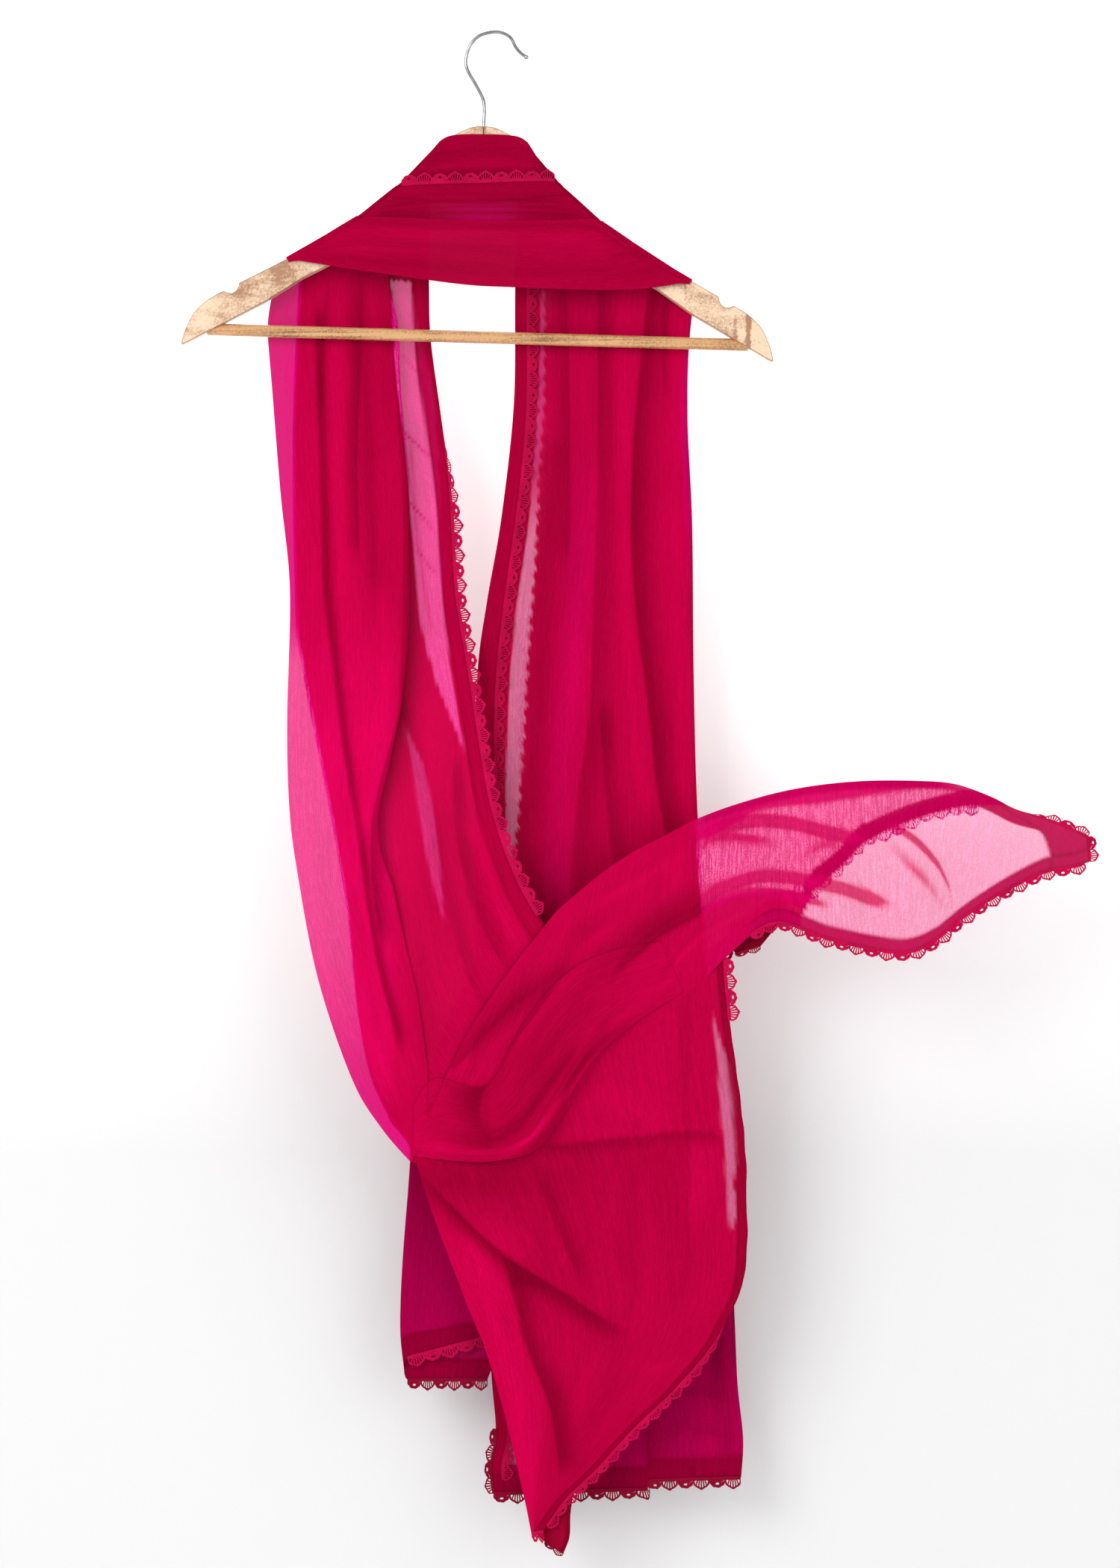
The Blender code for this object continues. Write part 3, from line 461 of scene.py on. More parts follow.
THROW_CREASES = [
    Crease(TUCK_WAY, -2.0, 9.0, 11.0, 0.85, True, 14.0),
    Crease([(50, -738), (70, -716), (92, -700), (124, -676), (151, -661), (176, -644)], 0.0, 6.0, 13.0,
            0.55, True),
    Crease([(60, -690), (90, -668), (120, -650), (148, -634)], 2.0, 8.0, 8.0, -0.3, True),
    Crease([(150, -606), (168, -599), (196, -594), (224, -596), (252, -603), (278, -607)], -2.6, 4.0,
            4.6, 1.1, True),
    Crease([(146, -618), (165, -606), (190, -606), (215, -610)], -2.0, 6.0, 3.0, 0.45, True),
    Crease([(84, -712), (100, -697), (125, -676), (151, -662), (168, -646), (196, -636), (219, -636),
            (241, -640), (266, -646), (294, -657)], -2.8, 4.0, 4.2, 1.1, True),
    Crease([(160, -658), (182, -649), (204, -647), (230, -651), (252, -657)], -1.6, 3.0, 3.2, 0.9, True),
    Crease([(272, -641), (286, -650), (300, -657)], -2.0, 2.4, 2.4, 0.5, True),
    Crease([(296, -597), (308, -603), (320, -612.5), (333, -627.5), (341, -645), (344, -668)], -2.4,
            2.4, 2.8, 1.3, True),
    Crease([(296, -612), (310, -626), (324, -640), (338, -658)], -2.2, 4.0, 6.0, 0.35, True),
    Crease([(122.8, -718), (139.7, -696), (162.2, -676), (184.8, -665), (202, -662)], 3.6, 5.0, 8.0,
            -0.5, True),
    Crease([(60, -664), (90, -648), (120, -630), (150, -618)], 3.0, 9.0, 8.0, -0.3, True),
    Crease([(46, -690), (70, -672), (100, -660), (140, -640)], -3.0, 8.0, 8.0, 0.35, True),
    Crease([(190, -574), (215, -570), (260, -566), (310, -565), (345, -568)], -1.0, 3.0, 4.0, 0.5, True),
    Crease([(225, -626), (238, -616), (252, -612), (268, -618)], -2.0, 3.0, 5.0, 0.35, True),
    Crease([(345, -600), (372, -606), (400, -609)], 2.4, 8.0, 8.0, 0.0, True),
]
TAIL_CREASES = [
    Crease([(-57, -860), (-35, -880), (-12, -903), (5.6, -919), (26, -934), (53, -950), (80, -968),
            (100, -977)], -4.6, 12.0, 1.4, 0.85, True, 34.0),
    Crease([(7.9, -921), (16.9, -955), (25.9, -991), (41.7, -1031), (48.4, -1067), (50, -1090)], -4.8,
            1.2, 14.0, 0.85),
    Crease([(28, -850), (38.3, -874), (53, -910), (66.5, -946)], -2.8, 1.4, 9.0, 0.55),
    Crease([(36, -838), (59, -836.5), (102, -832), (142, -828), (170, -829)], -2.8, 7.0, 1.5, 0.55,
            True, 10.0),
    Crease([(50, -826), (80, -800), (110, -812), (142, -820)], 2.0, 8.0, 10.0, -0.2, True),
    Crease([(-22, -900), (-6, -950), (8, -1010), (22, -1080), (28, -1120)], 3.2, 9.0, 9.0, -0.35),
    Crease([(148, -830), (148, -900)], 1.6, 1.4, 14.0, -0.3),
    Crease([(70, -990), (66, -1020), (58, -1070)], 3.2, 9.0, 8.0, -0.2),
    Crease([(110, -850), (118, -920), (116, -990)], 3.0, 12.0, 12.0, -0.1),
    Crease([(100, -1000), (120, -1004), (140, -1000)], 2.0, 6.0, 6.0, -0.2, True),
    Crease([(88, -900), (98, -930), (106, -950)], -1.6, 7.0, 7.0, 0.2),
]
SWAG_WAY = [(46.7, -714.5), (32.7, -735), (19.5, -752), (6.4, -772.7), (-6.8, -793.3), (-11.5, -808),
            (-10.5, -829)]
SWAG_FOLD = Line([(60, -700), *SWAG_WAY, (-8, -842)])
# Painted shade and highlights only: these creases have no height
SWAG_CREASES = [
    Crease(SWAG_WAY, 0.0, 9.0, 1.3, 0.6, False, 12.0),
    Crease([(-50, -785), (-26, -795), (-12, -800)], 0.0, 4.0, 2.0, 0.35, True, 20.0),
    Crease([(-40, -795), (-24, -803), (-12, -806)], 0.0, 16.0, 7.0, 0.55, True, 24.0),
    Crease([(45, -808), (55, -791), (66, -773), (81, -750), (93, -735)], 0.0, 8.0, 8.0, 0.5, True, 12.0),
    Crease([(-58, -838), (-29, -843.5), (-1, -845), (19, -838), (34, -824), (50, -802), (73, -775),
            (97, -755), (116, -741)], 0.0, 5.0, 4.0, -0.9, True),
    Crease([(-58, -826), (-29, -831), (-1, -832), (13, -826), (26, -813), (42, -790), (64, -765)], 0.0,
            4.0, 9.0, 0.55, True, 12.0),
    Crease([(-30, -791), (-18, -794), (-5, -796)], 0.0, 6.0, 2.0, 0.5, True, 18.0),
    Crease([(7, -770), (24, -748), (47, -720), (69, -701), (100, -684)], 0.0, 7.0, 7.0, -0.35, True),
    Crease([(12, -800), (30, -776), (56, -745), (88, -722)], 0.0, 10.0, 10.0, 0.3, True),
]
TOP_BAND_CREASES = [
    Crease([(-60, -95), (-35, -91), (0, -89), (25, -92)], -1.4, 3.0, 1.2, 0.35, True),
    Crease([(-66, -105), (-30, -100), (5, -99), (36, -101)], 1.2, 4.0, 3.0, -0.2, True),
    Crease([(-72, -112), (-40, -109), (0, -108), (42, -108)], -1.0, 3.0, 1.2, 0.3, True),
    Crease([(-38, -80), (-44, -92), (-52, -104)], -1.0, 2.0, 4.0, 0.3),
    Crease([(22, -82), (30, -94), (36, -106)], -1.0, 4.0, 2.0, 0.3),
]
MIDDLE_BAND_CREASES = [
    Crease([(-98, -133), (-50, -128), (10, -127), (60, -128)], -1.6, 1.4, 1.8, 0.7, True),
    Crease([(-98, -137), (-45, -132.5), (15, -131), (66, -134)], -1.4, 1.4, 1.8, 0.6, True),
    Crease([(-88, -128), (-40, -124), (30, -123), (55, -122)], -1.0, 1.4, 1.8, 0.5, True),
    Crease([(-100, -139), (-60, -137), (0, -136), (50, -137), (72, -138)], -1.4, 1.4, 2.0, 0.7, True),
    Crease([(-30, -126), (0, -125), (40, -126)], -1.0, 1.2, 1.5, 0.5, True),
]
LOWER_BAND_CREASES = [
    Crease([(-140, -160), (-80, -157), (0, -156), (90, -160)], 1.0, 9.0, 9.0, -0.15, True),
    Crease([(-150, -167), (-90, -173), (-20, -179), (60, -181), (130, -182)], -1.0, 5.0, 5.0, 0.25, True),
    Crease([(-112, -142), (-60, -145), (0, -147), (60, -146), (92, -150)], -0.9, 2.0, 3.0, 0.35, True),
    Crease([(72, -147), (95, -160), (125, -178)], -1.4, 3.0, 1.5, 0.4, True),
    Crease([(-140, -163), (-100, -160), (-40, -163), (20, -168)], -0.7, 1.6, 5.0, 0.2, True),
]

# Zones of one layer only, each between two lines
OUTER_STRIP = (
    Line([(-176, -180), (-178, -850)]),
    Line([(-146, -190), (-149, -236), (-150.4, -293), (-150, -370), (-148.5, -420), (-147, -452),
          (-143, -473), (-136, -513), (-127, -558), (-120, -593), (-110, -653), (-105, -708),
          (-101, -743), (-92, -786), (-77, -820), (-63, -838)]))
STRIP_CRUMPLES = [
    Crease([(-74, -296), (-62, -306), (-48, -318)], 0.0, 1.2, 1.2, 0.8, True, 6.0),
    Crease([(-66, -352), (-56, -362), (-44, -376)], 0.0, 1.4, 1.0, 0.8, True, 6.0),
    Crease([(-62, -384), (-52, -398), (-42, -408)], 0.0, 1.0, 1.4, 0.7, True, 6.0),
    Crease([(-72, -240), (-60, -252), (-50, -258)], 0.0, 1.2, 1.2, 0.5, True, 6.0),
    Crease([(-54, -200), (-52, -260), (-47, -330)], 0.0, 1.5, 1.0, 0.5),
    Crease([(-64, -300), (-58, -380), (-48, -460)], 0.0, 1.0, 1.5, 0.45),
]
INNER_STRIP = (
    Line([(-78.6, -185), (-78, -192), (-74.4, -256), (-67.3, -313), (-63, -363), (-58.9, -406),
          (-54.6, -448), (-43.4, -490), (-32.1, -518), (-23.7, -541)]),
    Line([(-63, -185), (-62, -194), (-47.6, -265), (-43.4, -307), (-40.6, -363), (-39, -420), (-35, -462),
          (-29.3, -504), (-22.3, -543)]))
WEDGE_STRIP = (
    Line([(-67.5, -520), (-63, -544), (-57.5, -583), (-51.8, -617), (-44.8, -645), (-38, -672)]),
    Line([(-67, -520), (-53.5, -552), (-45, -592), (-41, -625), (-38.5, -655), (-38, -675)]))
RIGHT_STRIP = (
    Line([(34.9, -196), (34, -250), (26.5, -363), (18.6, -420), (12, -480), (10.1, -518), (9, -560),
          (8.7, -605), (10, -635)]),
    Line([(39.5, -196), (39, -280), (35.5, -330), (34, -363), (31, -420), (26.5, -480), (24.5, -518),
          (22, -560), (18, -605), (11, -637)]))
TAIL_STRIP = (
    Line([(163.4, -739), (167.9, -780), (170, -814), (172.8, -834), (174.2, -865), (175.6, -886),
          (177.7, -904)]),
    Line([(164.3, -739), (170.7, -762), (176.3, -775), (179.1, -791), (182.2, -805), (181.2, -820),
          (181.2, -834), (183.1, -848), (179.8, -866), (182.6, -881), (182.2, -890), (178.0, -904)]))
REAR_STRIP = (Line([(7, -1015), (6, -1050), (8, -1082)]), Line([(13, -1015), (34, -1050), (38, -1078)]))
FLAP_HEM = Line([(382, -582), (368, -582), (351, -583), (322, -590), (300, -598.5), (278, -610),
        (261, -628), (241, -645), (230, -665)], True)
LOWER_LAYERS = Line([(150, -660), (183, -649), (226, -647), (240, -664), (250, -676)], True)
UPPER_LAYERS = Line([(150, -612), (155, -608), (198, -587), (246, -581), (283, -575), (332, -568),
        (350, -568)], True)
RIGHT_EDGE = Line([(144, -278), (147.1, -367), (148.1, -481), (151.2, -591), (159.4, -703), (170.6, -818)])


def between(strip, x, z, edge=1.0, teeth=0.0):
    """How far a place lies inside a zone, from 0 to 1, with its right side scalloped if asked."""
    left, right = strip
    if z < left.keys[0] or z > left.keys[-1]:
        return 0.0
    bite = teeth * abs(sin(pi * z / 11.5))
    return step_at(x, left.at(z), edge) * step_at(right.at(z) - bite, x, edge)


def toned(colour, tone):
    """A colour darkened into a fold or lit on a ridge."""
    if tone > 0.0:
        return colour.lerp(DEEP, min(tone, 1.0))
    return colour.lerp(BRIGHT, min(-tone, 1.0))


def mottled(x, z, seed):
    """Slow uneven change of tone over the cloth."""
    return 0.22 * noise.noise(Vector((x * 0.012, z * 0.006, seed))) + 0.12 * noise.noise(
        Vector((x * 0.05, z * 0.010, seed + 3.0)))


def arm_top(x):
    """World height of the tilted hanger's top edge at a world x, and its outward normal."""
    points = []
    for mirror in (-1, 1):
        for row in ARM_UPPER:
            own_x = CENTRE_X + mirror * row.across
            own_z = CROWN_Z - row.drop
            points.append((own_x * cos(TILT) + own_z * sin(TILT), own_z * cos(TILT) - own_x * sin(TILT)))
    points.sort()
    for start, end in zip(points, points[1:]):
        if x <= end[0] or end is points[-1]:
            slope = (end[1] - start[1]) / max(end[0] - start[0], 0.01)
            height = start[1] + slope * (x - start[0])
            return height, Vector((-slope, 1.0)).normalized()


# Parts of shaders

def new_group(name, inputs, outputs):
    group = bpy.data.node_groups.new(name, "ShaderNodeTree")
    for label, kind, value in inputs:
        socket = group.interface.new_socket(name=label, in_out="INPUT", socket_type=kind)
        if value is not None:
            socket.default_value = value
    for label, kind in outputs:
        group.interface.new_socket(name=label, in_out="OUTPUT", socket_type=kind)
    entry = group.nodes.new("NodeGroupInput")
    leave = group.nodes.new("NodeGroupOutput")
    return group, entry, leave


def math_node(tree, operation, first, second=None, clamped=False):
    node = tree.nodes.new("ShaderNodeMath")
    node.operation = operation
    node.use_clamp = clamped
    for socket, value in zip(node.inputs, (first, second)):
        if value is None:
            continue
        if isinstance(value, (int, float)):
            socket.default_value = value
        else:
            tree.links.new(value, socket)
    return node.outputs[0]


def noise_node(tree, vector, scale, detail=2.0, roughness=0.5):
    node = tree.nodes.new("ShaderNodeTexNoise")
    node.inputs["Scale"].default_value = scale
    node.inputs["Detail"].default_value = detail
    node.inputs["Roughness"].default_value = roughness
    tree.links.new(vector, node.inputs["Vector"])
    return node.outputs["Fac"]


def weighted(tree, *parts):
    """Sum of values, each times its weight."""
    total = None
    for value, weight in parts:
        part = math_node(tree, "MULTIPLY", value, weight)
        total = part if total is None else math_node(tree, "ADD", total, part)
    return total


def ramped(tree, level, first, second):
    """Colour ramp between two stops, each a place and a colour."""
    ramp = tree.nodes.new("ShaderNodeValToRGB")
    for element, (place_at, colour) in zip(ramp.color_ramp.elements, (first, second)):
        element.position = place_at
        element.color = colour
    tree.links.new(level, ramp.inputs["Fac"])
    return ramp.outputs["Color"]


def add_bump(tree, shader, height, strength, distance):
    bump = tree.nodes.new("ShaderNodeBump")
    bump.inputs["Strength"].default_value = strength
    bump.inputs["Distance"].default_value = distance
    tree.links.new(height, bump.inputs["Height"])
    tree.links.new(bump.outputs["Normal"], shader.inputs["Normal"])


def new_finish(name, roughness, specular=None):
    """A new material, with its node tree and its shader."""
    finish = bpy.data.materials.new(name)
    finish.use_nodes = True
    tree = finish.node_tree
    shader = tree.nodes["Principled BSDF"]
    if roughness is not None:
        shader.inputs["Roughness"].default_value = roughness
    if specular is not None:
        shader.inputs["Specular IOR Level"].default_value = specular
    return finish, tree, shader


def object_place(tree):
    return tree.nodes.new("ShaderNodeTexCoord").outputs["Object"]


def attribute(tree, name, output):
    node = tree.nodes.new("ShaderNodeAttribute")
    node.attribute_name = name
    return node.outputs[output]


def vector_math(tree, operation):
    node = tree.nodes.new("ShaderNodeVectorMath")
    node.operation = operation
    return node


def stretched(tree, vector, scale):
    node = tree.nodes.new("ShaderNodeMapping")
    node.inputs["Scale"].default_value = scale
    tree.links.new(vector, node.inputs["Vector"])
    return node.outputs["Vector"]


def chiffon_group():
    """Crinkled chiffon: slubs along the cloth, a fine weave, small crimps and a painted sheen on raised
    threads.
    """
    group, entry, leave = new_group(
        "crinkled_chiffon",
        [("Cloth Place", "NodeSocketVector", None), ("Colour And Shade", "NodeSocketColor", (0.6, 0.0, 0.1, 1.0)),
         ("Cover", "NodeSocketFloat", 0.8), ("Slub", "NodeSocketFloat", 0.3)],
        [("Color", "NodeSocketColor"), ("Alpha", "NodeSocketFloat"), ("Height", "NodeSocketFloat")])
    place_on = entry.outputs["Cloth Place"]
    slubs = noise_node(group, stretched(group, place_on, (700.0, 18.0, 1.0)), 1.0, 3.0, 0.7)
    short_slubs = noise_node(group, stretched(group, place_on, (900.0, 110.0, 1.0)), 1.0, 2.0, 0.6)
    grain = noise_node(group, stretched(group, place_on, (900.0, 800.0, 1.0)), 1.0, 1.0, 0.5)
    crimp = noise_node(group, stretched(group, place_on, (330.0, 60.0, 1.0)), 1.0, 3.0, 0.55)
    cloud = noise_node(group, stretched(group, place_on, (28.0, 14.0, 1.0)), 1.0, 2.0, 0.5)
    threads = weighted(group, (slubs, 0.42), (short_slubs, 0.33), (grain, 0.25))
    contrast = math_node(group, "SUBTRACT", threads, 0.5)
    contrast = math_node(group, "MULTIPLY", contrast, entry.outputs["Slub"])
    light = math_node(group, "ADD", contrast, 1.0)
    patchy = math_node(group, "MULTIPLY", math_node(group, "SUBTRACT", cloud, 0.5), 0.22)
    light = math_node(group, "ADD", light, patchy)
    scale = vector_math(group, "SCALE")
    group.links.new(entry.outputs["Colour And Shade"], scale.inputs[0])
    group.links.new(light, scale.inputs["Scale"])
    loose = math_node(group, "SUBTRACT", 1.0, entry.outputs["Cover"])
    # Painted sheen: pale light on raised threads where the cloth is open
    raised = math_node(group, "MULTIPLY", math_node(group, "SUBTRACT", threads, 0.47), 9.0, True)
    open_cloth = math_node(group, "SUBTRACT", loose, 0.015, True)
    thread_sheen_amount = math_node(group, "MULTIPLY", math_node(group, "MULTIPLY", raised, open_cloth), 1.1)
    thread_sheen = vector_math(group, "SCALE")
    thread_sheen.inputs[0].default_value = (0.9, 0.75, 0.8)
    group.links.new(thread_sheen_amount, thread_sheen.inputs["Scale"])
    summed = vector_math(group, "ADD")
    group.links.new(scale.outputs[0], summed.inputs[0])
    group.links.new(thread_sheen.outputs[0], summed.inputs[1])
    group.links.new(summed.outputs[0], leave.inputs["Color"])
    gaps = math_node(group, "SUBTRACT", 1.0, math_node(group, "MULTIPLY", contrast, 4.0))
    opened = math_node(group, "MULTIPLY", loose, gaps)
    group.links.new(math_node(group, "SUBTRACT", 1.0, opened, True), leave.inputs["Alpha"])
    group.links.new(weighted(group, (crimp, 0.7), (threads, 0.3)), leave.inputs["Height"])
    return group


def chiffon(name, group, slub):
    finish, tree, shader = new_finish(name, 0.75, 0.0)
    place_on = tree.nodes.new("ShaderNodeUVMap")
    place_on.uv_map = "cloth"
    weave = tree.nodes.new("ShaderNodeGroup")
    weave.node_tree = group
    weave.inputs["Slub"].default_value = slub
    tree.links.new(place_on.outputs["UV"], weave.inputs["Cloth Place"])
    # The attribute holds the cloth's colour together with its painted light and shade
    tree.links.new(attribute(tree, "colour_and_shade", "Color"), weave.inputs["Colour And Shade"])
    tree.links.new(attribute(tree, "cover", "Fac"), weave.inputs["Cover"])
    add_bump(tree, shader, weave.outputs["Height"], 0.35, 0.0012)
    tree.links.new(weave.outputs["Color"], shader.inputs["Base Color"])
    tree.links.new(weave.outputs["Alpha"], shader.inputs["Alpha"])
    return finish


# Cloth meshes

def mesh_of(body, name, finish):
    data = bpy.data.meshes.new(name)
    body.to_mesh(data)
    body.free()
    data.materials.append(finish)
    return data


def add_piece(name, data, node=None):
    """Adds a mesh as a piece of the one body, in the place of a solid if it has one."""
    piece = bpy.data.objects.new(name, data)
    bpy.context.scene.collection.objects.link(piece)
    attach(piece, "root")
    if node:
        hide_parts(node)
    return piece


def sheet(name, grid, paint, finish, replaces, held, hems=(), hem_colour_and_shade=HEM, hem_wide=HEM_WIDE,
          turned=False):
    """A thin sheet over a grid of points, coloured point by point with painted light and shade, declared
    with its cut.
    """
    rows = len(grid)
    columns = len(grid[0])
    across = [[0.0] * columns for _ in range(rows)]
    along = [[0.0] * columns for _ in range(rows)]
    for down in range(rows):
        for step in range(1, columns):
            across[down][step] = across[down][step - 1] + (grid[down][step] - grid[down][step - 1]).length
    for step in range(columns):
        for down in range(1, rows):
            along[down][step] = along[down - 1][step] + (grid[down][step] - grid[down - 1][step]).length
    column_place = [sum(row[step] for row in across) / rows for step in range(columns)]
    row_place = [sum(row) / columns for row in along]
    body = bmesh.new()
    # Colour per point, painted light and shade included
    colour_and_shade_layer = body.verts.layers.float_color.new("colour_and_shade")
    cover_layer = body.verts.layers.float.new("cover")
    cloth_map = body.loops.layers.uv.new("cloth")
    points = []
    for down in range(rows):
        line = []
        for step in range(columns):
            point = grid[down][step]
            colour, cover = paint(down, step, point)
            from_edge = {
                "first": across[down][step], "last": across[down][-1] - across[down][step],
                "top": along[down][step], "bottom": along[-1][step] - along[down][step],
            }
            for side in hems:
                away = from_edge[side]
                hem = 1.0 - step_at(away, hem_wide, 1.6)
                stitch = bell(away - hem_wide + STITCH_IN, STITCH_WIDE) * 0.55
                edge = bell(away, EDGE_WIDE) * 0.6
                colour = colour.lerp(hem_colour_and_shade, 0.85 * hem).lerp(DEEP, min(stitch + edge, 0.8))
                cover = 1.0 - (1.0 - cover) * (1.0 - 0.96 * hem)
            vert = body.verts.new(point * MM)
            vert[colour_and_shade_layer] = (colour.x, colour.y, colour.z, 1.0)
            vert[cover_layer] = cover
            line.append(vert)
        points.append(line)
    for down in range(rows - 1):
        for step in range(columns - 1):
            corners = ((down, step), (down, step + 1), (down + 1, step + 1), (down + 1, step))
            face = body.faces.new([points[a][b] for a, b in corners])
            face.smooth = True
            for loop, (a, b) in zip(face.loops, corners):
                if turned:
                    loop[cloth_map].uv = (row_place[a] * MM, across[a][b] * MM)
                else:
                    loop[cloth_map].uv = (column_place[b] * MM, along[a][b] * MM)
    piece = add_piece(name, mesh_of(body, name, finish), replaces)
    wide = sum(row[-1] for row in across) / rows * MM
    long = sum(along[-1]) / columns * MM
    piece["cut"] = (wide, long)
    piece["held"] = held
    return piece


def grid_of(steps_down, steps_across, place_at):
    """Grid of points, each placed by its shares of the way down and across."""
    grid = []
    for down in range(steps_down + 1):
        grid.append([place_at(down / steps_down, step / steps_across) for step in range(steps_across + 1)])
    return grid


def column_of(grid, column):
    return [row[column] for row in grid]


def first_edge(grid):
    """A grid's first column and one beside it that tells the edging which way is inside."""
    return column_of(grid, 0), column_of(grid, 3)


def last_edge(grid):
    return column_of(grid, -1), column_of(grid, -4)


def skin_of(*grids):
    """Search tree over the surfaces of sheets, in millimetres."""
    points = []
    faces = []
    for grid in grids:
        base = len(points)
        width = len(grid[0])
        points.extend(point for row in grid for point in row)
        for down in range(len(grid) - 1):
            for across in range(width - 1):
                corner = base + down * width + across
                faces.append((corner, corner + 1, corner + width + 1, corner + width))
    return BVHTree.FromPolygons(points, faces)


def front_depth(skin, x, z):
    """Depth of the nearest cloth to the viewer at a place, or of the cloth beside it."""
    far_front = -200.0
    near_front = -30.0
    hit = skin.ray_cast(Vector((x, far_front, z)), Vector((0.0, 1.0, 0.0)))[0]
    if hit is None:
        hit = skin.find_nearest(Vector((x, near_front, z)))[0]
    return hit.y


def section_path(runs, pitch, points_in_run):
    """Stops across a section: flat runs at their layers, joined by half-round turns."""
    stops = []
    for number, (start, end, layer) in enumerate(runs):
        steps = points_in_run[number]
        for index in range(steps + 1):
            stops.append((blend(start, end, index / steps), 0.0, layer * pitch, number))
        if number + 1 < len(runs):
            next_layer = runs[number + 1][2]
            way = 1.0 if end > start else -1.0
            middle = (layer + next_layer) / 2.0 * pitch
            radius = abs(next_layer - layer) * pitch / 2.0
            rise = 1.0 if next_layer > layer else -1.0
            for index in range(1, TURN_POINTS + 1):
                turn = radians(-90.0 + 180.0 * index / (TURN_POINTS + 1))
                side = number if turn < 0.0 else number + 1
                stops.append((end, way * radius * cos(turn), middle + rise * radius * sin(turn), side))
    return stops


# Lace

def ribbon(points, width):
    """Flat strip along a short path: quads of (along, out) places."""
    quads = []
    rails = []
    for index, point in enumerate(points):
        before = points[max(index - 1, 0)]
        after = points[min(index + 1, len(points) - 1)]
        way = Vector((after[0] - before[0], after[1] - before[1])).normalized()
        normal = Vector((-way.y, way.x)) * (width / 2.0)
        middle = Vector(point)
        rails.append((middle + normal, middle - normal))
    for a, b in zip(rails, rails[1:]):
        quads.append((a[0], b[0], b[1], a[1]))
    return quads


def lace_pair():
    """One repeat of the edging: a solid round scallop with an eyelet, and an open pointed fan."""
    heading = 2.6
    quads = ribbon([(LACE_PAIR * step / 6.0, heading / 2.0) for step in range(7)], heading)
    steps = 18
    scallop_x = 6.0
    scallop_reach = 5.9
    picot = 0.45
    eye_wide = 1.3
    eye_tall = 0.8
    eye_height = heading + 2.6
    rim = []
    upper = []
    lower = []
    base = []
    for index in range(steps + 1):
        angle = pi * index / steps
        reach = scallop_reach + picot * abs(sin(4.5 * angle))
        rim.append(Vector((scallop_x - reach * cos(angle), heading - 0.5 + reach * sin(angle))))
        upper.append(Vector((scallop_x - eye_wide * cos(angle), eye_height + eye_tall * sin(angle))))
        lower.append(Vector((scallop_x - eye_wide * cos(angle), eye_height - eye_tall * sin(angle))))
        base.append(Vector((scallop_x - scallop_reach * cos(angle), heading - 0.5)))
    for index in range(steps):
        quads.append((rim[index], rim[index + 1], upper[index + 1], upper[index]))
        quads.append((base[index], base[index + 1], lower[index + 1], lower[index]))
    fan_x = 17.4
    arch = [(-5.2, 1.8), (-5.5, 3.8), (-4.9, 5.6), (-3.6, 6.9), (-1.9, 7.8), (-0.7, 8.6), (0.0, 9.4)]
    for side in (-1.0, 1.0):
        quads += ribbon([(fan_x + side * x, height) for x, height in arch], 1.4)
    for lean, top in ((-3.8, 6.4), (-1.9, 7.4), (0.0, 8.3), (1.9, 7.4), (3.8, 6.4)):
        quads += ribbon([(fan_x + lean * 0.6, 2.0), (fan_x + lean * 0.9, 4.4), (fan_x + lean, top)], 1.0)
    return quads


def lace(name, edge, inside, finish, replaces, start=0.0, end=1.0, reach=1.0, ramp=0.0):
    """The edging along an edge of a sheet, standing out from it in the sheet's own plane."""
    lengths = [0.0]
    for a, b in zip(edge, edge[1:]):
        lengths.append(lengths[-1] + (b - a).length)
    total = lengths[-1]
    outs = []
    for index, point in enumerate(edge):
        along = (edge[min(index + 1, len(edge) - 1)] - edge[max(index - 1, 0)]).normalized()
        out = point - inside[index]
        out -= along * out.dot(along)
        outs.append(out.normalized())
    around = 3
    calm = []
    for index in range(len(outs)):
        near = outs[max(index - around, 0):index + around + 1]
        calm.append(sum(near, Vector((0.0, 0.0, 0.0))).normalized())

    def at(distance):
        index = min(max(bisect_right(lengths, distance) - 1, 0), len(edge) - 2)
        share = clamp((distance - lengths[index]) / max(lengths[index + 1] - lengths[index], 1e-6))
        return edge[index].lerp(edge[index + 1], share), calm[index].lerp(calm[index + 1], share)

    span = (end - start) * total
    pairs = max(1, round(span / LACE_PAIR))
    stretch = span / (pairs * LACE_PAIR)
    template = lace_pair()
    body = bmesh.new()
    for pair in range(pairs):
        for quad in template:
            corners = []
            for corner in quad:
                point, out = at(start * total + (pair * LACE_PAIR + corner.x) * stretch)
                grown = pair + corner.x / LACE_PAIR
                tall = corner.y * reach * (1.0 if ramp == 0.0 else clamp(grown / ramp + 0.12))
                flutter = 0.35 * noise.noise(Vector((pair * 0.9, corner.x * 0.05, 3.0))) * tall
                place_at = point + out * (tall - LACE_LAP) + Vector((0.0, flutter - LACE_THICK, 0.0))
                corners.append(body.verts.new(place_at * MM))
            body.faces.new(corners)
    bmesh.ops.remove_doubles(body, verts=body.verts, dist=0.00002)
    piece = add_piece(name, mesh_of(body, name, finish), replaces)
    thickness = piece.modifiers.new("thread", "SOLIDIFY")
    thickness.thickness = LACE_THICK * MM
    thickness.offset = 0.0
    return piece


def lace_finish(name, colour):
    finish, tree, shader = new_finish(name, 0.7, 0.05)
    where = object_place(tree)
    thread = noise_node(tree, where, 900.0, 2.0, 0.6)
    patch = noise_node(tree, where, 60.0, 2.0, 0.5)
    shaded = (colour[0] * 0.55, 0.001, colour[2] * 0.5, 1.0)
    colour_and_shade = ramped(tree, weighted(tree, (thread, 0.5), (patch, 0.5)), (0.3, shaded), (0.75, (*colour, 1.0)))
    tree.links.new(colour_and_shade, shader.inputs["Base Color"])
    add_bump(tree, shader, thread, 0.5, 0.0004)
    return finish


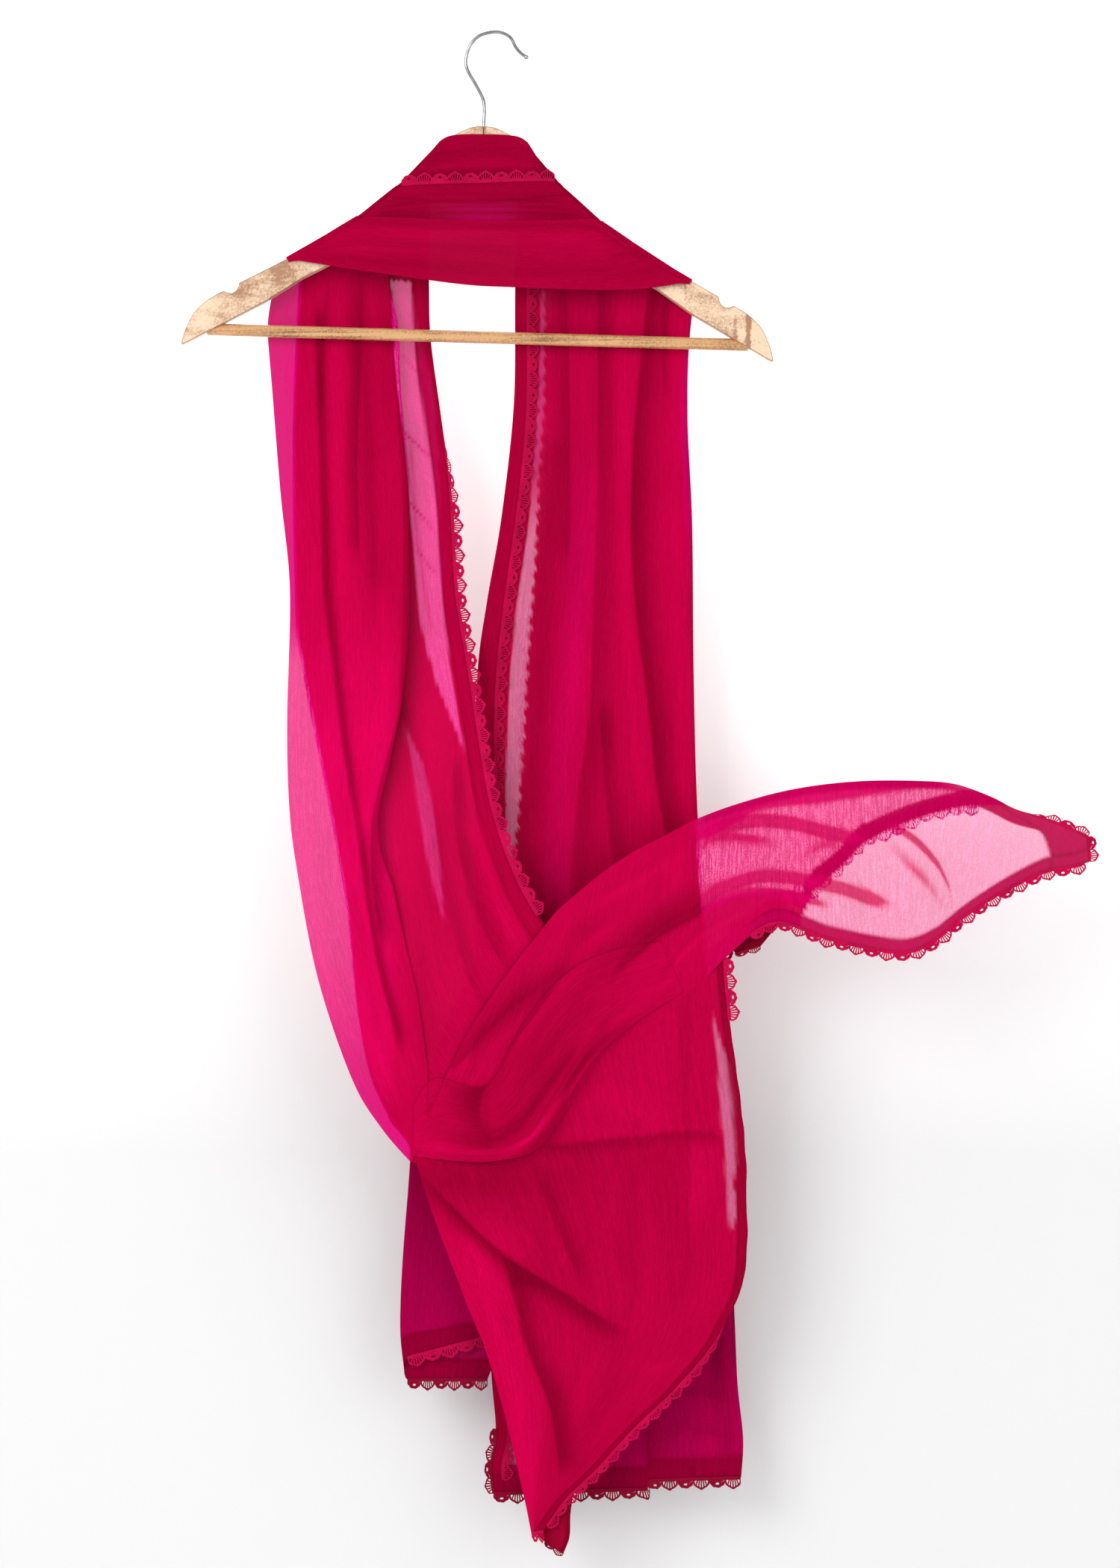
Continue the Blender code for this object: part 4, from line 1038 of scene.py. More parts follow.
# How a band's rows stand off the wood at the arms, and where they hang in the middle
BandRow = namedtuple("BandRow", "share lift front")
TOP_ROWS = [
    BandRow(0.0, 0.0, 8.0), BandRow(0.33, 0.1, 9.0), BandRow(0.66, 0.2, 9.6), BandRow(1.0, 0.2, 10.0)]
MIDDLE_ROWS = [
    BandRow(0.0, 0.6, 12.2), BandRow(0.3, 0.6, 13.0), BandRow(0.65, 0.4, 12.4), BandRow(1.0, 0.1, 12.2)]
LOWER_ROWS = [
    BandRow(0.0, 0.7, 15.6), BandRow(0.25, 0.7, 16.6), BandRow(0.5, 0.5, 17.4),
    BandRow(0.75, 0.3, 17.0), BandRow(1.0, 0.1, 15.6)]


def band_grid(upper, lower, rows, creases, down_steps, across_steps, seed):
    """A band across the front whose ends go over the arms' tops to the back."""
    face = ARM_THICK / 2.0
    grid = []
    for down in range(down_steps + 1):
        row = BandRow(*smooth_row(rows, down / down_steps * (len(rows) - 1)))
        lift = SEAM + CLOTH_WALL / 2.0 + row.lift
        ends = []
        points = []
        for index in range(across_steps + 1):
            share = index / across_steps
            points.append((edge_point(upper, share).lerp(edge_point(lower, share), row.share), share))
        for side in (0, -1):
            place_x = points[side][0].x
            height, normal = arm_top(place_x)
            foot = Vector((place_x, 0.0, height))
            out = Vector((normal.x, 0.0, normal.y))
            stops = table(
                "y rise",
                (face + lift + 0.1, -WRAP_DOWN), (face + lift + 0.1, -1.2),
                (face + lift * 0.7, lift * 0.9 + 0.25), (face * 0.5, lift + 0.4),
                (0.0, lift + 0.5), (-face * 0.5, lift + 0.4),
                (-(face + lift * 0.7), lift * 0.9 + 0.25), (-(face + lift + 0.1), -1.0),
                (-(face + lift + 0.1), -3.0))
            ends.append([foot + out * stop.rise + Vector((0.0, stop.y, 0.0)) for stop in stops])
        line = []
        skip = max(1, across_steps // 24)
        for point, share in points[skip:-skip]:
            belly = blend(face + lift + 0.1, row.front, sin(pi * share) ** 0.6)
            first = clamp(share * 8.0)
            last = clamp((1.0 - share) * 8.0)
            wave = folded(creases, point.x, point.y)[0] * first * last
            shake = rumple(point.y * 2.0, point.x, seed, 0.5) * first * last
            line.append(Vector((point.x, -belly + wave + shake, point.y)))
        grid.append(ends[0] + line + ends[1][::-1])
    return grid


def bands(finish, lace_dim):
    stretches = (
        ("stole_band_top", "band_top", TOP_BAND_UPPER, TOP_BAND_LOWER, TOP_ROWS,
         TOP_BAND_CREASES, 22, 96, 1.0),
        ("stole_band_middle", "band_middle", MIDDLE_BAND_UPPER, MIDDLE_BAND_LOWER, MIDDLE_ROWS,
         MIDDLE_BAND_CREASES, 26, 130, 2.0),
        ("stole_band_lower", "band_lower", LOWER_BAND_UPPER, LOWER_BAND_LOWER, LOWER_ROWS,
         LOWER_BAND_CREASES, 30, 170, 3.0),
    )
    for name, node, upper, lower, rows, creases, down_steps, across_steps, seed in stretches:
        grid = band_grid(upper, lower, rows, creases, down_steps, across_steps, seed)

        def paint(down, step, point, creases=creases, node=node):
            tone = folded(creases, point.x, point.z)[1]
            colour = DENSE.lerp(MIDDLE, mottled(point.z * 3.0, point.x * 2.0, 5.0)).lerp(DEEP, 0.1)
            if node == "band_top":
                # Painted shade where the middle band's lace lies over the top band, which is darker overall
                shade_behind_lace = bell(point.z + 107.0, 6.0)
                colour = colour.lerp(DEEP, 0.38 + 0.45 * shade_behind_lace)
            if node == "band_middle":
                patch = bell(point.x + 10.0, 27.0) * past(-point.z, 124.0, 6.0)
                colour = colour.lerp(DEEP, 0.25 * (1.0 - patch)).lerp(PURPLE, 0.6 * patch)
            return toned(colour, tone), 0.9985

        hems = ("top",) if node == "band_middle" else ()
        piece = sheet(name, grid, paint, finish, node, "draped", hems, turned=True)
        if node == "band_middle":
            wrap = 9
            hem, inside = (row[wrap:-wrap] for row in grid[:2])
            edging = lace("lace_edging_band", hem, inside, lace_dim, "lace_band_middle")


def crossing(line, near, far):
    """Share of the way from near to far where a line is crossed."""
    steps = 60
    last = line.offset(far.x, far.y)
    for index in range(1, steps + 1):
        share = 1.0 - index / steps
        point = far.lerp(near, 1.0 - share)
        now = line.offset(point.x, point.y)
        if last <= 0.0 < now:
            return share + (1.0 / steps) * (now / (now - last))
        last = now
    return None


def fall_grid(inner, outer, down_steps, runs_at, counts, depth, creases, seed):
    """Grid of a fall that turns back on itself between its inner and outer edges."""
    grid = []
    layers = []
    for index in range(down_steps + 1):
        down = index / down_steps
        near = edge_point(inner, down)
        far = edge_point(outer, down)
        loose = clamp(down * 5.0)
        pitch = blend(3.0, 6.0, loose) * (1.0 - 0.85 * past(down, 0.70, 0.18))
        width = max((far - near).length, 1.0)
        side = (far - near).normalized()
        row = []
        layer_row = []
        stops = section_path(runs_at(down, near, far, width), pitch, counts)
        for share, reach, layer_depth, layer in stops:
            across = near.lerp(far, share)
            x = across.x + side.x * reach
            z = across.y + side.y * reach
            height, normal = arm_top(x)
            top_z = height - (WRAP_DOWN + SEAM + 0.3) / normal.y
            z = blend(top_z, z, clamp(down * 9.0))
            front = read_at(depth, z)[0]
            ease = blend(0.25, 1.0, clamp((down - 0.12) * 5.0))
            ease *= blend(1.0, 0.3, clamp((down - 0.9) * 10.0))
            wave = folded(creases, x, z)[0] + rumple(x, z, seed)
            row.append(Vector((x, front + layer_depth + wave * ease, z)))
            layer_row.append(layer)
        grid.append(row)
        layers.append(layer_row)
    return grid, layers


def left_fall(finish, lace_lit):
    dense_edge = Line(LEFT_DENSE_EDGE)
    strip_edge = OUTER_STRIP[1]

    def runs_at(down, near, far, width):
        inner_turn = crossing(dense_edge, near, far) or 0.42
        outer_turn = crossing(strip_edge, near, far) or 0.985
        outer_turn = min(max(outer_turn, inner_turn + 0.12), 0.965)
        return [(1.0, inner_turn, 0), (inner_turn, outer_turn, 1), (outer_turn, 0.0, 2)]

    counts = (80, 16, 56)
    grid = fall_grid(LEFT_INNER, LEFT_OUTER, 250, runs_at, counts, LEFT_DEPTH, LEFT_CREASES, 11.0)[0]

    def paint(down, step, point):
        x = point.x
        z = point.z
        tone = folded(LEFT_CREASES, x, z)[1]
        high = past(-z, 150.0, 430.0)
        low = past(-z, 700.0, 130.0)
        side = 0.30 * past(-x, 100.0, 20.0) * (1.0 - high)
        colour = DENSE.lerp(LIT, 0.95 * high + side - 0.25 * low + mottled(x, z, 9.0))
        glow = past(-z, 430.0, 110.0) * (1.0 - past(-z, 770.0, 80.0)) * (1.0 - past(x, -84.0, 16.0))
        colour = colour.lerp(GLOW, 0.85 * glow)
        inner = past(x, -66.0, 14.0) * past(-z, 560.0, 60.0)
        colour = colour.lerp(MIDDLE, 0.6 * inner)
        colour = toned(colour, tone)
        outer = between(OUTER_STRIP, x, z, 1.6)
        lower = past(-z, 440.0, 40.0) * (1.0 - past(-z, 640.0, 190.0))
        colour = colour.lerp(ROSE.lerp(SHEER, lower), outer * (0.92 - 0.3 * max(tone, 0.0)))
        inside = max(between(INNER_STRIP, x, z, 1.2), 0.45 * between(WEDGE_STRIP, x, z, 2.0))
        crumple = 0.22 * noise.noise(Vector((x * 0.05, z * 0.03, 4.0)))
        pull = folded(STRIP_CRUMPLES, x, z)[1]
        colour = colour.lerp(INSIDE, inside * (0.92 + crumple)).lerp(MAGENTA, inside * 0.8 * clamp(pull))
        cover = 0.997 - outer * (0.012 + 0.05 * lower) - 0.075 * inside * (1.0 - clamp(pull))
        return colour, cover

    piece = sheet("stole_left_fall", grid, paint, finish, "left_fall", "gathered", ("last",),
                  DENSE, 16.0)
    edging = lace("lace_edging_left", *last_edge(grid), lace_lit, "lace_left_fall", 0.36, 0.985, ramp=3.0)
    return grid


def right_fall(finish, lace_dim, lace_in_shade):
    left_edge = Line([(row.x, row.z) for row in RIGHT_INNER])
    right_edge = Line([(row.x, row.z) for row in RIGHT_OUTER])
    glow_line = Line([(66, -300), (66.5, -391), (58, -476), (49.5, -560), (46.7, -660)])

    def runs_at(down, near, far, width):
        first, second = read_at(RIGHT_REAR_HEMS, near.y)
        return [(first / width, 0.0, -0.3), (0.0, 1.0, 0), (1.0, second / width, 1)]

    counts = (12, 100, 54)
    grid, layers = fall_grid(RIGHT_INNER, RIGHT_OUTER, 330, runs_at, counts, RIGHT_DEPTH,
                             RIGHT_CREASES, 23.0)
    hem_step = 6.5
    for row in grid:
        for point in row:
            near_hem = past(-point.z, 980.0, 110.0)
            part = 1.0 - step_at(point.x, 116.5, 1.5)
            point.z -= hem_step * (part - 0.5) * near_hem

    def paint(down, step, point):
        x = point.x
        z = point.z
        tone = folded(RIGHT_CREASES, x, z)[1]
        run = layers[down][step]
        # The low part, hanging behind the tail, takes the colour of cloth in painted shade
        rear = past(-z, 800.0, 100.0)
        colour = DENSE.lerp(MIDDLE, 1.0 + mottled(x, z, 19.0)).lerp(LIT, 0.2).lerp(REAR_SHADED, rear)
        glow = bell(x - glow_line.at(max(z, -660.0)), 12.0) * past(-z, 290.0, 90.0) * (1.0 - rear)
        colour = colour.lerp(GLOW.lerp(MAGENTA, 0.5), 0.6 * glow)
        colour = toned(colour, tone * (1.0 - 0.5 * glow))
        rim = past(x - right_edge.at(z), -5.0, 3.0) * bell(z + 300.0, 80.0)
        colour = colour.lerp(MAGENTA, 0.8 * rim)
        cover = 0.998
        if run == 0:
            colour = DENSE.lerp(DEEP, 0.25 + 0.5 * mottled(x, z, 29.0))
        elif run == 1:
            shade = 1.0 - past(x - left_edge.at(z), 58.0, 22.0)
            colour = colour.lerp(DEEP, 0.2 * shade * (1.0 - rear))
            strip = between(RIGHT_STRIP, x, z, 1.0, 2.8)
            bare = past(-z, 330.0, 60.0)
            colour = colour.lerp(MAGENTA.lerp(STRIP, blend(0.3, 1.0, bare)), strip)
            cover -= 0.05 * strip * bare
            rear_strip = between(REAR_STRIP, x, z, 1.2)
            colour = colour.lerp(STRIP.lerp(REAR_SHADED, 0.3), rear_strip)
            cover -= 0.03 * rear_strip
        return colour, cover

    piece = sheet("stole_right_fall", grid, paint, finish, "right_fall", "gathered",
                  ("bottom",), HEM_REAR_SHADED)
    front_first = counts[0] + 1 + TURN_POINTS
    front_last = front_first + counts[1]
    side_rows = 17
    side, side_in = (column_of(grid[-side_rows:], counts[0] + step) for step in (3, 14))
    edgings = [
        lace("lace_edging_rear_side", side, side_in, lace_in_shade, None, reach=0.7),
        lace("lace_edging_rear_first", *first_edge(grid), lace_dim, "lace_rear_hem_first", 0.05, 0.99),
        lace("lace_edging_rear_second", *last_edge(grid), lace_in_shade, "lace_rear_hem_second", 0.1, 0.99),
        lace("lace_edging_rear_bottom", grid[-1][front_first:front_last + 1],
             grid[-4][front_first:front_last + 1], lace_in_shade, "lace_rear_bottom"),
    ]


def throw_point(position, across):
    row = smooth_row(THROW, position * (len(THROW) - 1))
    top = Vector((row[0], row[2], row[1]))
    low = Vector((row[3], row[5], row[4]))
    point = top.lerp(low, across)
    bow = (1.0 - soft(position / 0.12)) * sin(pi * across)
    point += Vector((-9.0, -1.5, 5.0)) * bow
    calm = clamp(position * 5.0) * clamp((1.0 - position) * 6.0)
    edge_calm = clamp(across * 8.0) * clamp((1.0 - across) * 8.0)
    wave = folded(THROW_CREASES, point.x, point.z)[0] + rumple(point.z, point.x, 31.0, 1.4)
    point.y += wave * calm * edge_calm
    return point


# The throw's colour with its painted shadow, painted shade in creases and painted highlights on ridges
def throw_colour_and_shade(x, z, tone):
    """The throw's colour: dense over the falls, sheer beyond them, palest past the hem behind it."""
    beyond = step_at(x, RIGHT_EDGE.at(min(max(z, -800.0), -300.0)), 2.0)
    over = MIDDLE.lerp(LIT, 0.35 + 1.2 * mottled(x, z, 33.0))
    shadow = bell(x - 124.0, 45.0) * bell(z + 668.0 - (x - 124.0) * 0.6, 12.0)
    over = over.lerp(DEEP, 0.5 * shadow * (1.0 - beyond))
    hem_x = min(max(x, FLAP_HEM.keys[0]), FLAP_HEM.keys[-1])
    slope = (FLAP_HEM.at(hem_x + 1.0) - FLAP_HEM.at(hem_x - 1.0)) / 2.0
    past_hem = step_at(FLAP_HEM.at(hem_x) - z, 0.0, 1.6) if x > FLAP_HEM.keys[0] else 0.0
    two = LIGHT.lerp(ROSE, 0.25 + 1.6 * mottled(x, z, 37.0))
    lower = step_at(LOWER_LAYERS.at(min(max(x, 150.0), 250.0)) - z, 0.0, 7.0) * (1.0 - past(x, 230.0, 8.0))
    two = two.lerp(MIDDLE.lerp(LIT, 0.6), 0.9 * lower)
    upper = step_at(z, UPPER_LAYERS.at(min(max(x, 150.0), 350.0)), 5.0) * (1.0 - past(x, 335.0, 20.0))
    two = two.lerp(TOP_FOLDS, 0.9 * upper)
    colour = over.lerp(two.lerp(PALE, past_hem), beyond)
    band = 0.0
    hem_start = FLAP_HEM.keys[0] - 4.0
    hem_end = FLAP_HEM.keys[-1] + 4.0
    if hem_start < x < hem_end:
        away = z - FLAP_HEM.at(hem_x)
        tall = 12.0 * min(hypot(1.0, slope), 1.5)
        band = step_at(away, 0.0, 1.4) * (1.0 - step_at(away, tall, 2.0)) * beyond
        band *= past(x, hem_start, 6.0) * past(hem_end - x, 0.0, 6.0)
    colour = colour.lerp(HEM_FLAP, band)
    cover = blend(0.997, blend(0.80, 0.66, past_hem), beyond)
    cover += (0.995 - cover) * max(0.97 * lower, 0.93 * upper) * (1.0 - past_hem)
    dark = clamp(tone * blend(1.0, 2.6, beyond)) * blend(0.6, 0.95, beyond)
    colour = toned(colour, min(tone, 0.0) * (1.0 - 0.6 * beyond)).lerp(DEEP.lerp(TOP_FOLDS, beyond), dark)
    cover = 1.0 - (1.0 - cover) * (1.0 - 0.9 * dark) * (1.0 - 0.96 * band)
    return colour, cover


def throw(finish, lace_lit):
    steps_along = 300
    steps_across = 96
    grid = grid_of(steps_along, steps_across, throw_point)
    hem_from = round(steps_along * 13 / 28)
    top_rows = 42
    end_hem = Line([(378, -572), (384, -586), (399, -594), (411, -604), (416, -620), (416, -640)])

    def paint(down, step, point):
        colour, cover = throw_colour_and_shade(point.x, point.z, folded(THROW_CREASES, point.x, point.z)[1])
        # Painted shade on the throw just above the tuck line, fading upwards and to the right
        under_roll = (point.z - TUCK.at(min(max(point.x, TUCK.keys[0]), TUCK.keys[-1]))) * 0.74
        tuck_shade = step_at(under_roll, 0.0, 1.5) * bell(max(under_roll, 0.0), 16.0)
        colour = colour.lerp(DEEP, 0.5 * tuck_shade * (1.0 - past(point.x, 10.0, 40.0)))
        beyond = past(point.x, 185.0, 20.0)
        from_top = (grid[down][0] - point).length
        top_hem = (1.0 - step_at(from_top, 11.0, 1.5)) * past(point.x, 352.0, 14.0)
        from_low = (grid[down][-1] - point).length
        past_end = end_hem.offset(point.x, point.z)
        wide = 10.0
        hem = max(1.0 - step_at(from_low, wide, 1.5), step_at(past_end, 0.0, 1.5), top_hem) * beyond
        stitch = max(bell(from_low - wide, 1.5), bell(past_end, 1.5)) * beyond
        rolled = (1.0 - step_at(from_top, 6.0, 4.0)) * past(point.x, 150.0, 10.0)
        colour = colour.lerp(HEM_LIT.lerp(MAGENTA, 0.5), 0.85 * rolled)
        colour = colour.lerp(HEM_FLAP, hem).lerp(DEEP, 0.45 * stitch)
        edge = bell(from_low, 2.0) * beyond
        shut = max(0.96 * hem, 0.88 * rolled, 0.8 * stitch)
        return colour.lerp(DEEP, 0.45 * edge), 1.0 - (1.0 - cover) * (1.0 - shut)

    for index, row in enumerate(grid):
        sunk = 1.0 - past(index / steps_along, 0.40, 0.06)
        for step, point in enumerate(row):
            point.y += 2.2 * sunk * past(step / steps_across, 0.9, 0.1)
    piece = sheet("stole_throw", grid, paint, finish, "throw", "draped", turned=True)
    edgings = [
        lace("lace_edging_throw", *last_edge(grid[hem_from:]), lace_lit, "lace_throw", 0.04, 0.985,
             reach=0.85),
        lace("lace_edging_throw_end", grid[-1], grid[-4], lace_lit, "lace_throw_end", reach=0.85),
        lace("lace_edging_throw_top", *first_edge(grid[-top_rows:]), lace_lit, None, reach=0.7, ramp=1.0),
    ]
    return grid


def throw_flap(finish, lace_lit):
    def place_at(share, down):
        top = throw_point(blend(*FLAP_SPAN, share), 0.02)
        low = edge_point(FLAP_LOW, share)
        away = CLOTH_WALL + SEAM + 0.2 + 9.0 * sin(pi * down * 0.75) * clamp(down * 2.0)
        x = blend(top.x, low.x, down)
        z = blend(top.z, low.y, down)
        depth = blend(top.y, top.y + 6.0, down) + away + rumple(z, x, 41.0, 0.8) * clamp(down * 4.0)
        return Vector((x, depth, z))

    def paint(down, step, point):
        return SHEER.lerp(ROSE, 0.5), 0.70

    grid = grid_of(96, 34, place_at)
    piece = sheet("stole_throw_flap", grid, paint, finish, "throw_flap", "draped", ("last",),
                  HEM_FLAP, 12.0, turned=True)
    edging = lace("lace_edging_flap", *last_edge(grid), lace_lit, "lace_throw_flap")


def swag(skin, finish):
    steps_along = 150

    def place_at(share, across):
        point = edge_point(SWAG_UPPER, share).lerp(edge_point(SWAG_LOWER, share), across)
        calm = (1.0 - past(share, 0.55, 0.45)) * soft(share / 0.22)
        turn = blend(3.5, 13.0, past(-point.y, 775.0, 40.0))
        past_fold = past(SWAG_FOLD.offset(point.x, point.y), -1.5, turn)
        low_roll = 0.8 * bell(across - 0.85, 0.14)
        bulge = 13.0 * calm * max(sin(pi * across) ** 0.7 * past_fold, low_roll)
        roll = 5.0 * bell(across - 0.86, 0.09) * calm
        front = front_depth(skin, point.x, point.y) - blend(0.5, LIES_ON, calm)
        shake = rumple(point.y, point.x, 51.0, 0.8) * sin(pi * across)
        return Vector((point.x, front - bulge - roll + shake, point.y))

    def paint(down, step, point):
        share = down / steps_along
        tone = folded(SWAG_CREASES, point.x, point.z)[1]
        plain = toned(DENSE.lerp(MIDDLE, 0.35 + mottled(point.x, point.z, 43.0)), tone)
        plain = plain.lerp(DENSE.lerp(LIT, 0.75), 0.85 * (1.0 - soft(share / 0.3)))
        # Painted shade in the pocket left of the swag's fold, on its upper part
        inside_fold = SWAG_FOLD.offset(point.x, point.z)
        pocket_shade = bell(min(inside_fold - 2.0, 0.0), 17.0) * (1.0 - past(inside_fold, -1.0, 4.0))
        pocket_shade *= past(-point.z, 780.0, 6.0) * (1.0 - past(-point.z, 798.0, 30.0))
        plain = plain.lerp(DEEP, 0.75 * pocket_shade)
        around = throw_colour_and_shade(point.x, point.z, folded(THROW_CREASES, point.x, point.z)[1])[0]
        return plain.lerp(around, past(share, 0.5, 0.45)), 0.998

    grid = grid_of(steps_along, 48, place_at)
    sheet("stole_swag", grid, paint, finish, "swag", "draped")


def front_tail(finish, lace_lit):
    steps_across = 90
    root_span = 8.0 / (len(THROW) - 1)

    def place_at(down, across):
        left_x, left_z, right_x, right_z, depth = smooth_row(TAIL, down * (len(TAIL) - 1))
        curved = clamp(1.0 - down / TAIL_CURVED) ** 1.5
        point = Vector((blend(left_x, right_x, across), depth, blend(left_z, right_z, across)))
        root = throw_point(across * root_span, TAIL_LAPS)
        first = Vector((blend(TAIL[0].left_x, TAIL[0].right_x, across), 0.0,
                        blend(TAIL[0].left_z, TAIL[0].right_z, across)))
        point += Vector((root.x - first.x, 0.0, root.z - first.z)) * curved
        behind = root.y + CLOTH_WALL + SEAM + 0.3
        point.y = blend(depth, behind, clamp(1.0 - down * 6.0))
        point.x += 1.4 * noise.noise(Vector((point.z * 0.045, 5.0, 1.0))) * across ** 6
        calm = clamp(down * 4.0) * clamp((1.0 - down) * 4.0)
        wave = folded(TAIL_CREASES, point.x, point.z)[0] + rumple(point.x, point.z, 61.0, 1.5)
        point.y += wave * calm
        return point

    def paint(down, step, point):
        x = point.x
        z = point.z
        tone = folded(TAIL_CREASES, x, z)[1]
        low = past(-z, 860.0, 150.0)
        colour = DENSE.lerp(LIT, 0.10 + 0.25 * low + mottled(x, z, 67.0))
        above = past(z, -842.0, 14.0) * past(x, 44.0, 16.0) * (1.0 - past(x, 128.0, 26.0))
        colour = colour.lerp(LIT, 0.5 * above)
        edge_band = soft((0.30 - step / steps_across) / 0.12) * past(-z, 870.0, 50.0)
        colour = colour.lerp(LIT, 0.8 * edge_band)
        right = step_at(x, 148.0, 2.0) * (1.0 - low)
        colour = colour.lerp(LIT, 0.4 * right)
        # Painted shade on the tail just under the swag, on its left part
        shade_under_swag = bell(z + 862.0, 16.0) * (1.0 - past(x, 20.0, 60.0))
        colour = toned(colour.lerp(DEEP, 0.35 * shade_under_swag), tone)
        strip = between(TAIL_STRIP, x, z, 1.2)
        colour = colour.lerp(STRIP, strip)
        return colour, 0.998 - 0.03 * strip

    grid = grid_of(150, steps_across, place_at)
    piece = sheet("stole_front_tail", grid, paint, finish, "front_tail", "draped", ("last",),
                  HEM, 8.0)
    edgings = [
        lace("lace_edging_tail", *last_edge(grid), lace_lit, "lace_tail_diagonal", 0.58, 0.99,
             reach=0.75, ramp=2.0),
        lace("lace_edging_tail_top", *last_edge(grid), lace_lit, None, 0.005, 0.1),
        lace("lace_edging_tip", grid[-1], grid[-4], lace_lit, "lace_tail_tip"),
    ]


def turned_corner(name, corners, depth, colour_and_shade, finish, edge_finish):
    """A small corner of cloth that turns back behind the sheet in front of it."""
    def place_at(down, across):
        left, right = smooth_row(corners, down * (len(corners) - 1))
        point = left.lerp(right, across)
        return Vector((point.x, depth + 1.2 * sin(5.0 * across + down), point.y))

    def paint(down, step, point):
        return colour_and_shade.lerp(MAGENTA, 0.25 * noise.noise(point * 0.08)), 0.998

    grid = grid_of(24, 24, place_at)
    piece = sheet(name, grid, paint, finish, None, "folded", ("last",), DEEP, 3.0)
    edging = lace(name + "_lace", grid[-1], grid[-4], edge_finish, None, reach=0.5)


def rear_left(finish, lace_lit, lace_in_shade):
    steps_down = 80
    counts = (34, 30)
    grid = []
    for index in range(steps_down + 1):
        down = index / steps_down
        left_x, right_x, z = smooth_row(REAR_LEFT, down * (len(REAR_LEFT) - 1))
        width = right_x - left_x
        pitch = blend(3.2, 5.0, down)
        runs = [(1.0, 0.0, 0), (0.0, 0.8, 1)]
        row = []
        for share, reach, layer_depth, _ in section_path(runs, pitch, counts):
            rear = clamp(layer_depth / pitch)
            slant = blend(blend(0.0, 20.0, share), -17.0, rear) * down ** 3
            depth = blend(10.8, 11.8, down) + layer_depth + 0.6 * sin(share * 9.0) * down
            row.append(Vector((left_x + width * share + reach, depth, z + slant)))
        grid.append(row)

    def paint(down, step, point):
        # Painted shade: the cloth hanging behind is painted darker towards its top
        shade = past(-point.z, 840.0, 120.0)
        colour = REAR_SHADED.lerp(MAGENTA, 0.6 * mottled(point.x, point.z, 71.0)).lerp(DEEP, 0.35 * (1.0 - shade))
        return colour, 0.996

    piece = sheet("stole_rear_tail", grid, paint, finish, "rear_tail_left", "hung",
                  ("bottom",), HEM_REAR_SHADED)
    first = counts[0] + 1
    back = counts[0] + 1 + TURN_POINTS
    edgings = [
        lace("lace_edging_rear_left_front", grid[-1][:first], grid[-4][:first], lace_lit,
             "lace_rear_left_front"),
        lace("lace_edging_rear_left_back", grid[-1][back:], grid[-4][back:], lace_in_shade,
             "lace_rear_left_back"),
    ]


# Hanger

def wood_finish(name, light, dark, roughness, coat, grain_scale, marked=False):
    """Varnished wood: long grain lines, small pores and, on one arm, short marks across."""
    finish, tree, shader = new_finish(name, roughness)
    place_on = object_place(tree)
    grain = noise_node(tree, stretched(tree, place_on, grain_scale), 1.0, 4.0, 0.65)
    speckle = noise_node(tree, place_on, 650.0, 2.0, 0.7)
    patch = noise_node(tree, place_on, 24.0, 3.0, 0.6)
    mixed = weighted(tree, (grain, 0.45), (speckle, 0.3), (patch, 0.25))
    if marked:
        turned = tree.nodes.new("ShaderNodeMapping")
        turned.inputs["Rotation"].default_value = (0.0, radians(-32.0), 0.0)
        turned.inputs["Scale"].default_value = (75.0, 1.0, 9.0)
        tree.links.new(place_on, turned.inputs["Vector"])
        marks = noise_node(tree, turned.outputs["Vector"], 1.0, 1.0, 0.4)
        marks = math_node(tree, "MULTIPLY", math_node(tree, "SUBTRACT", marks, 0.54, True), 2.2)
        mixed = math_node(tree, "SUBTRACT", mixed, marks)
    tree.links.new(ramped(tree, mixed, (0.40, dark), (0.54, light)), shader.inputs["Base Color"])
    add_bump(tree, shader, mixed, 0.2, 0.0004)
    shader.inputs["Coat Weight"].default_value = coat
    shader.inputs["Coat Roughness"].default_value = 0.15
    return finish


def tilted(data):
    data.transform(Matrix.Rotation(TILT, 4, "Y"))


def curve_mesh(curve):
    """Mesh of a curve, made through an object that is removed again."""
    holder = bpy.data.objects.new(curve.name + "_path", curve)
    bpy.context.scene.collection.objects.link(holder)
    bpy.context.view_layer.update()
    data = bpy.data.meshes.new_from_object(holder.evaluated_get(bpy.context.evaluated_depsgraph_get()))
    bpy.data.objects.remove(holder, do_unlink=True)
    return data


def rounded(rows):
    """Smooth curve through rows, with four points for each."""
    return [smooth_row(rows, step / 4.0) for step in range((len(rows) - 1) * 4 + 1)]


